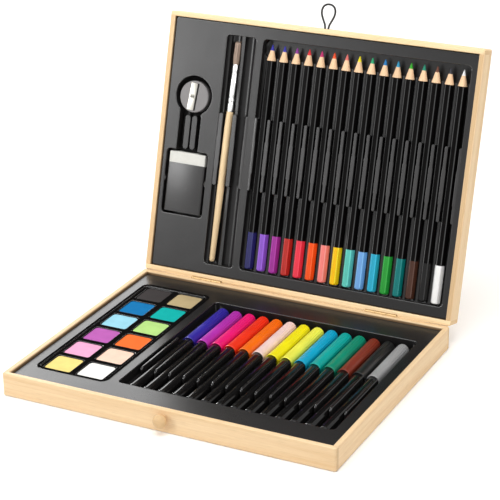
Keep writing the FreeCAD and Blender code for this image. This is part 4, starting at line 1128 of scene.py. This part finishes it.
class CASE_OT_pencils(CaseOperator):
    """Adds the sharpened pencils with their dipped ends"""
    bl_idname = "colouring_case.pencils"
    bl_label = "Pencils"

    def execute(self, context):
        """Turns each pencil, planes its six flats and divides it into its finishes."""
        lacquer, cedar = self.colours.lacquer[:], self.colours.cedar[:]
        black = lacquer_finish("pencil_lacquer", lacquer, UPRIGHT, 0.2, 0.04, 0)
        black_edge = lacquer_finish("pencil_lacquer_edges", lacquer, UPRIGHT, 0.12, 0.9)
        wood = wood_finish("sharpened_wood", 1, scaled(cedar, 1.04), scaled(cedar, 0.78), UPRIGHT,
                           gloss=0.6, ends=False)
        for node, (dip_code, lead_code) in PENCILS.items():
            body = node[:9]
            low, high = flat_box(node, UPRIGHT)
            length = high.y - low.y
            form = pencil_form(length, self.sizes)
            divide_pencil(form, length, self.sizes)
            axis = ((low.x + high.x) / 2, low.y, (low.z + high.z) / 2)
            dip = tone(dip_code)
            # The round edges of the dipped end get a lighter copy of the dip's colour, a painted
            # highlight.
            finishes = [black, lacquer_finish(node + "_dip", dip, UPRIGHT, 0.22, 0.25, 0), wood,
                        core_finish(node + "_lead", tone(lead_code), UPRIGHT), black_edge,
                        lacquer_finish(node + "_dip_edges", scaled(dip, 1.5), UPRIGHT, 0.14)]
            make_piece(body + "_whole", form, body, finishes, UPRIGHT @ Matrix.Translation(axis),
                       [node], node, 24, even=True)
        return {"FINISHED"}


class CASE_OT_brush(CaseOperator):
    """Adds the brush: handle, ferrule and hair"""
    bl_idname = "colouring_case.brush"
    bl_label = "Brush"

    def execute(self, context):
        """Turns the handle and ferrule and sets the hair, cut blunt."""
        colours = self.colours
        start = end_of_node("brush_handle", min)
        lean = (end_of_node("brush_bristles", max) - start).normalized()
        turn = Vector((0, 1, 0)).rotation_difference(lean).to_matrix().to_4x4()
        place = UPRIGHT @ Matrix.Translation(start) @ turn

        handle = ((0, 0), (0.05, 0.7), (0.4, 1.4), (1.2, 1.95), (2.4, 2.15), (20, 2.35), (50, 2.75),
                  (78, 3.05), (96, 3.1), (108, 3.08), (114, 2.98), (118.5, 2.78), (120.6, 2.68),
                  (120.6, 2.35), (126, 2.3), (126, 0))
        ferrule = ((120.6, 0), (120.6, 2.72), (120.75, 2.82), (127.0, 2.79), (127.4, 2.42),
                   (128.4, 2.4), (128.9, 2.77), (131.0, 2.76), (131.4, 2.42), (132.4, 2.4),
                   (132.9, 2.73), (150.0, 2.5), (150.3, 2.36), (151.2, 2.35), (151.6, 2.48),
                   (157.7, 2.42), (157.9, 2.3), (157.9, 2.1), (150, 2.0), (150, 0))
        hair = ((150, 0), (150, 2.0), (157.6, 2.15), (159.5, 2.45), (163, 2.6), (168, 2.62),
                (173, 2.6), (174.7, 2.45), (175.0, 2.0), (174.2, 1.3), (175.0, 0.7), (174.6, 0))
        wood = wood_finish("handle_wood", 1, scaled(colours.handle[:], 1.04),
                           scaled(colours.handle[:], 0.84), UPRIGHT, gloss=0.28, ends=False)
        metal = metal_finish("ferrule_aluminium", (0.86, 0.86, 0.86, 1), 0.18, UPRIGHT,
                             (1500, 40, 1500), 0.05)
        soft = hair_finish("brush_hair", colours.hair[:], UPRIGHT)
        for name, form, finish, nodes, slot, turn in (
                ("turned_handle", handle, wood, ["brush_handle"], "handle_wood", 40),
                ("crimped_ferrule", ferrule, metal, ["brush_ferrule"], "ferrule_metal", 35),
                ("hair_core", hair, soft, ["brush_bristles"], "bristle", 60)):
            make_piece(name, turned_form(in_metres(form), 40), "brush", [finish], place, nodes,
                       slot, turn)
        make_piece("hair_strands", strands_form(), "brush", [soft], place, (), "bristle", 60)
        return {"FINISHED"}


class CASE_OT_sharpener(CaseOperator):
    """Adds the round sharpener with its blade and screw"""
    bl_idname = "colouring_case.sharpener"
    bl_label = "Sharpener"

    def execute(self, context):
        """Softens the body, grinds the blade and cuts the screw."""
        steel, ground = self.colours.steel[:], (4200, 260, 4200)
        body = moulded_plastic("sharpener_body_plastic", self.colours.sharpener[:], 0.42, UPRIGHT,
                               drawn=500)
        blade = metal_finish("blade_steel", steel, 0.3, UPRIGHT, ground)
        screw = metal_finish("screw_steel", scaled(steel, 0.35), 0.25, UPRIGHT, ground)
        for node, width, finish, slot in (("sharpener_body", 0.0002, body, "sharpener_grey"),
                                          ("sharpener_blade", 0.00006, blade, "blade_steel"),
                                          ("sharpener_screw", 0.0001, screw, "blade_steel")):
            form = node_form(node, UPRIGHT)
            soften(form, sharp_edges(form), width, 2)
            make_piece("finished_" + node, form, "sharpener", [finish], UPRIGHT, [node], slot,
                       even=True)
        return {"FINISHED"}


class CASE_OT_eraser(CaseOperator):
    """Adds the eraser in its card sleeve"""
    bl_idname = "colouring_case.eraser"
    bl_label = "Eraser"

    def execute(self, context):
        """Rounds the block and folds the sleeve round it."""
        low, high = flat_box("eraser_rubber", UPRIGHT)
        form = block_form(low, high)
        soften(form, form.edges[:], 0.0009, 4)
        finish = rubber_finish("white_vinyl", self.colours.rubber[:], UPRIGHT)
        make_piece("eraser_block", form, "eraser", [finish], UPRIGHT, ["eraser_rubber"],
                   "rubber_white", 60)
        form = node_form("eraser_sleeve", UPRIGHT)
        soften(form, sharp_edges(form), 0.0001, 2)
        middle = (low + high) / 2
        finish = card_finish("varnished_card", self.colours.card[:], UPRIGHT, middle)
        make_piece("card_sleeve", form, "eraser", [finish], UPRIGHT, ["eraser_sleeve"], "card_black",
                   even=True)
        return {"FINISHED"}


class CASE_PT_panel(bpy.types.Panel):
    """Lists the case's pieces, sizes and colours"""
    bl_idname = "CASE_PT_panel"
    bl_label = "Colouring Case"
    bl_space_type = "VIEW_3D"
    bl_region_type = "UI"
    bl_category = "Colouring Case"

    def draw(self, context):
        """Draws a button for each operator and a field for each setting."""
        for operator in OPERATORS:
            self.layout.operator(operator.bl_idname)
        for settings in (context.scene.case_sizes, context.scene.case_colours):
            for name in settings.bl_rna.properties.keys():
                if name not in {"name", "rna_type"}:
                    self.layout.prop(settings, name)


OPERATORS = (CASE_OT_stage, CASE_OT_closure_loop, CASE_OT_boards, CASE_OT_knob, CASE_OT_hinges,
             CASE_OT_inserts, CASE_OT_paints, CASE_OT_markers, CASE_OT_pencils, CASE_OT_brush,
             CASE_OT_sharpener, CASE_OT_eraser)


def register():
    """Registers the settings, the operators and the panel."""
    for part in (CaseColours, CaseSizes) + OPERATORS + (CASE_PT_panel,):
        bpy.utils.register_class(part)
    bpy.types.Scene.case_colours = bpy.props.PointerProperty(type=CaseColours)
    bpy.types.Scene.case_sizes = bpy.props.PointerProperty(type=CaseSizes)


def unregister():
    """Removes what register adds."""
    del bpy.types.Scene.case_sizes
    del bpy.types.Scene.case_colours
    for part in reversed((CaseColours, CaseSizes) + OPERATORS + (CASE_PT_panel,)):
        bpy.utils.unregister_class(part)


def main():
    """Builds the stage and the whole case."""
    register()
    bpy.context.scene.view_settings.view_transform = "Standard"
    for operator in OPERATORS:
        group, name = operator.bl_idname.split(".")
        getattr(getattr(bpy.ops, group), name)()
    bpy.context.view_layer.update()
    boxes = [[[float(v) for v in corner] for corner in box] for box in (FRAME_BOX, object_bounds())]


if __name__ == "__main__":
    main()
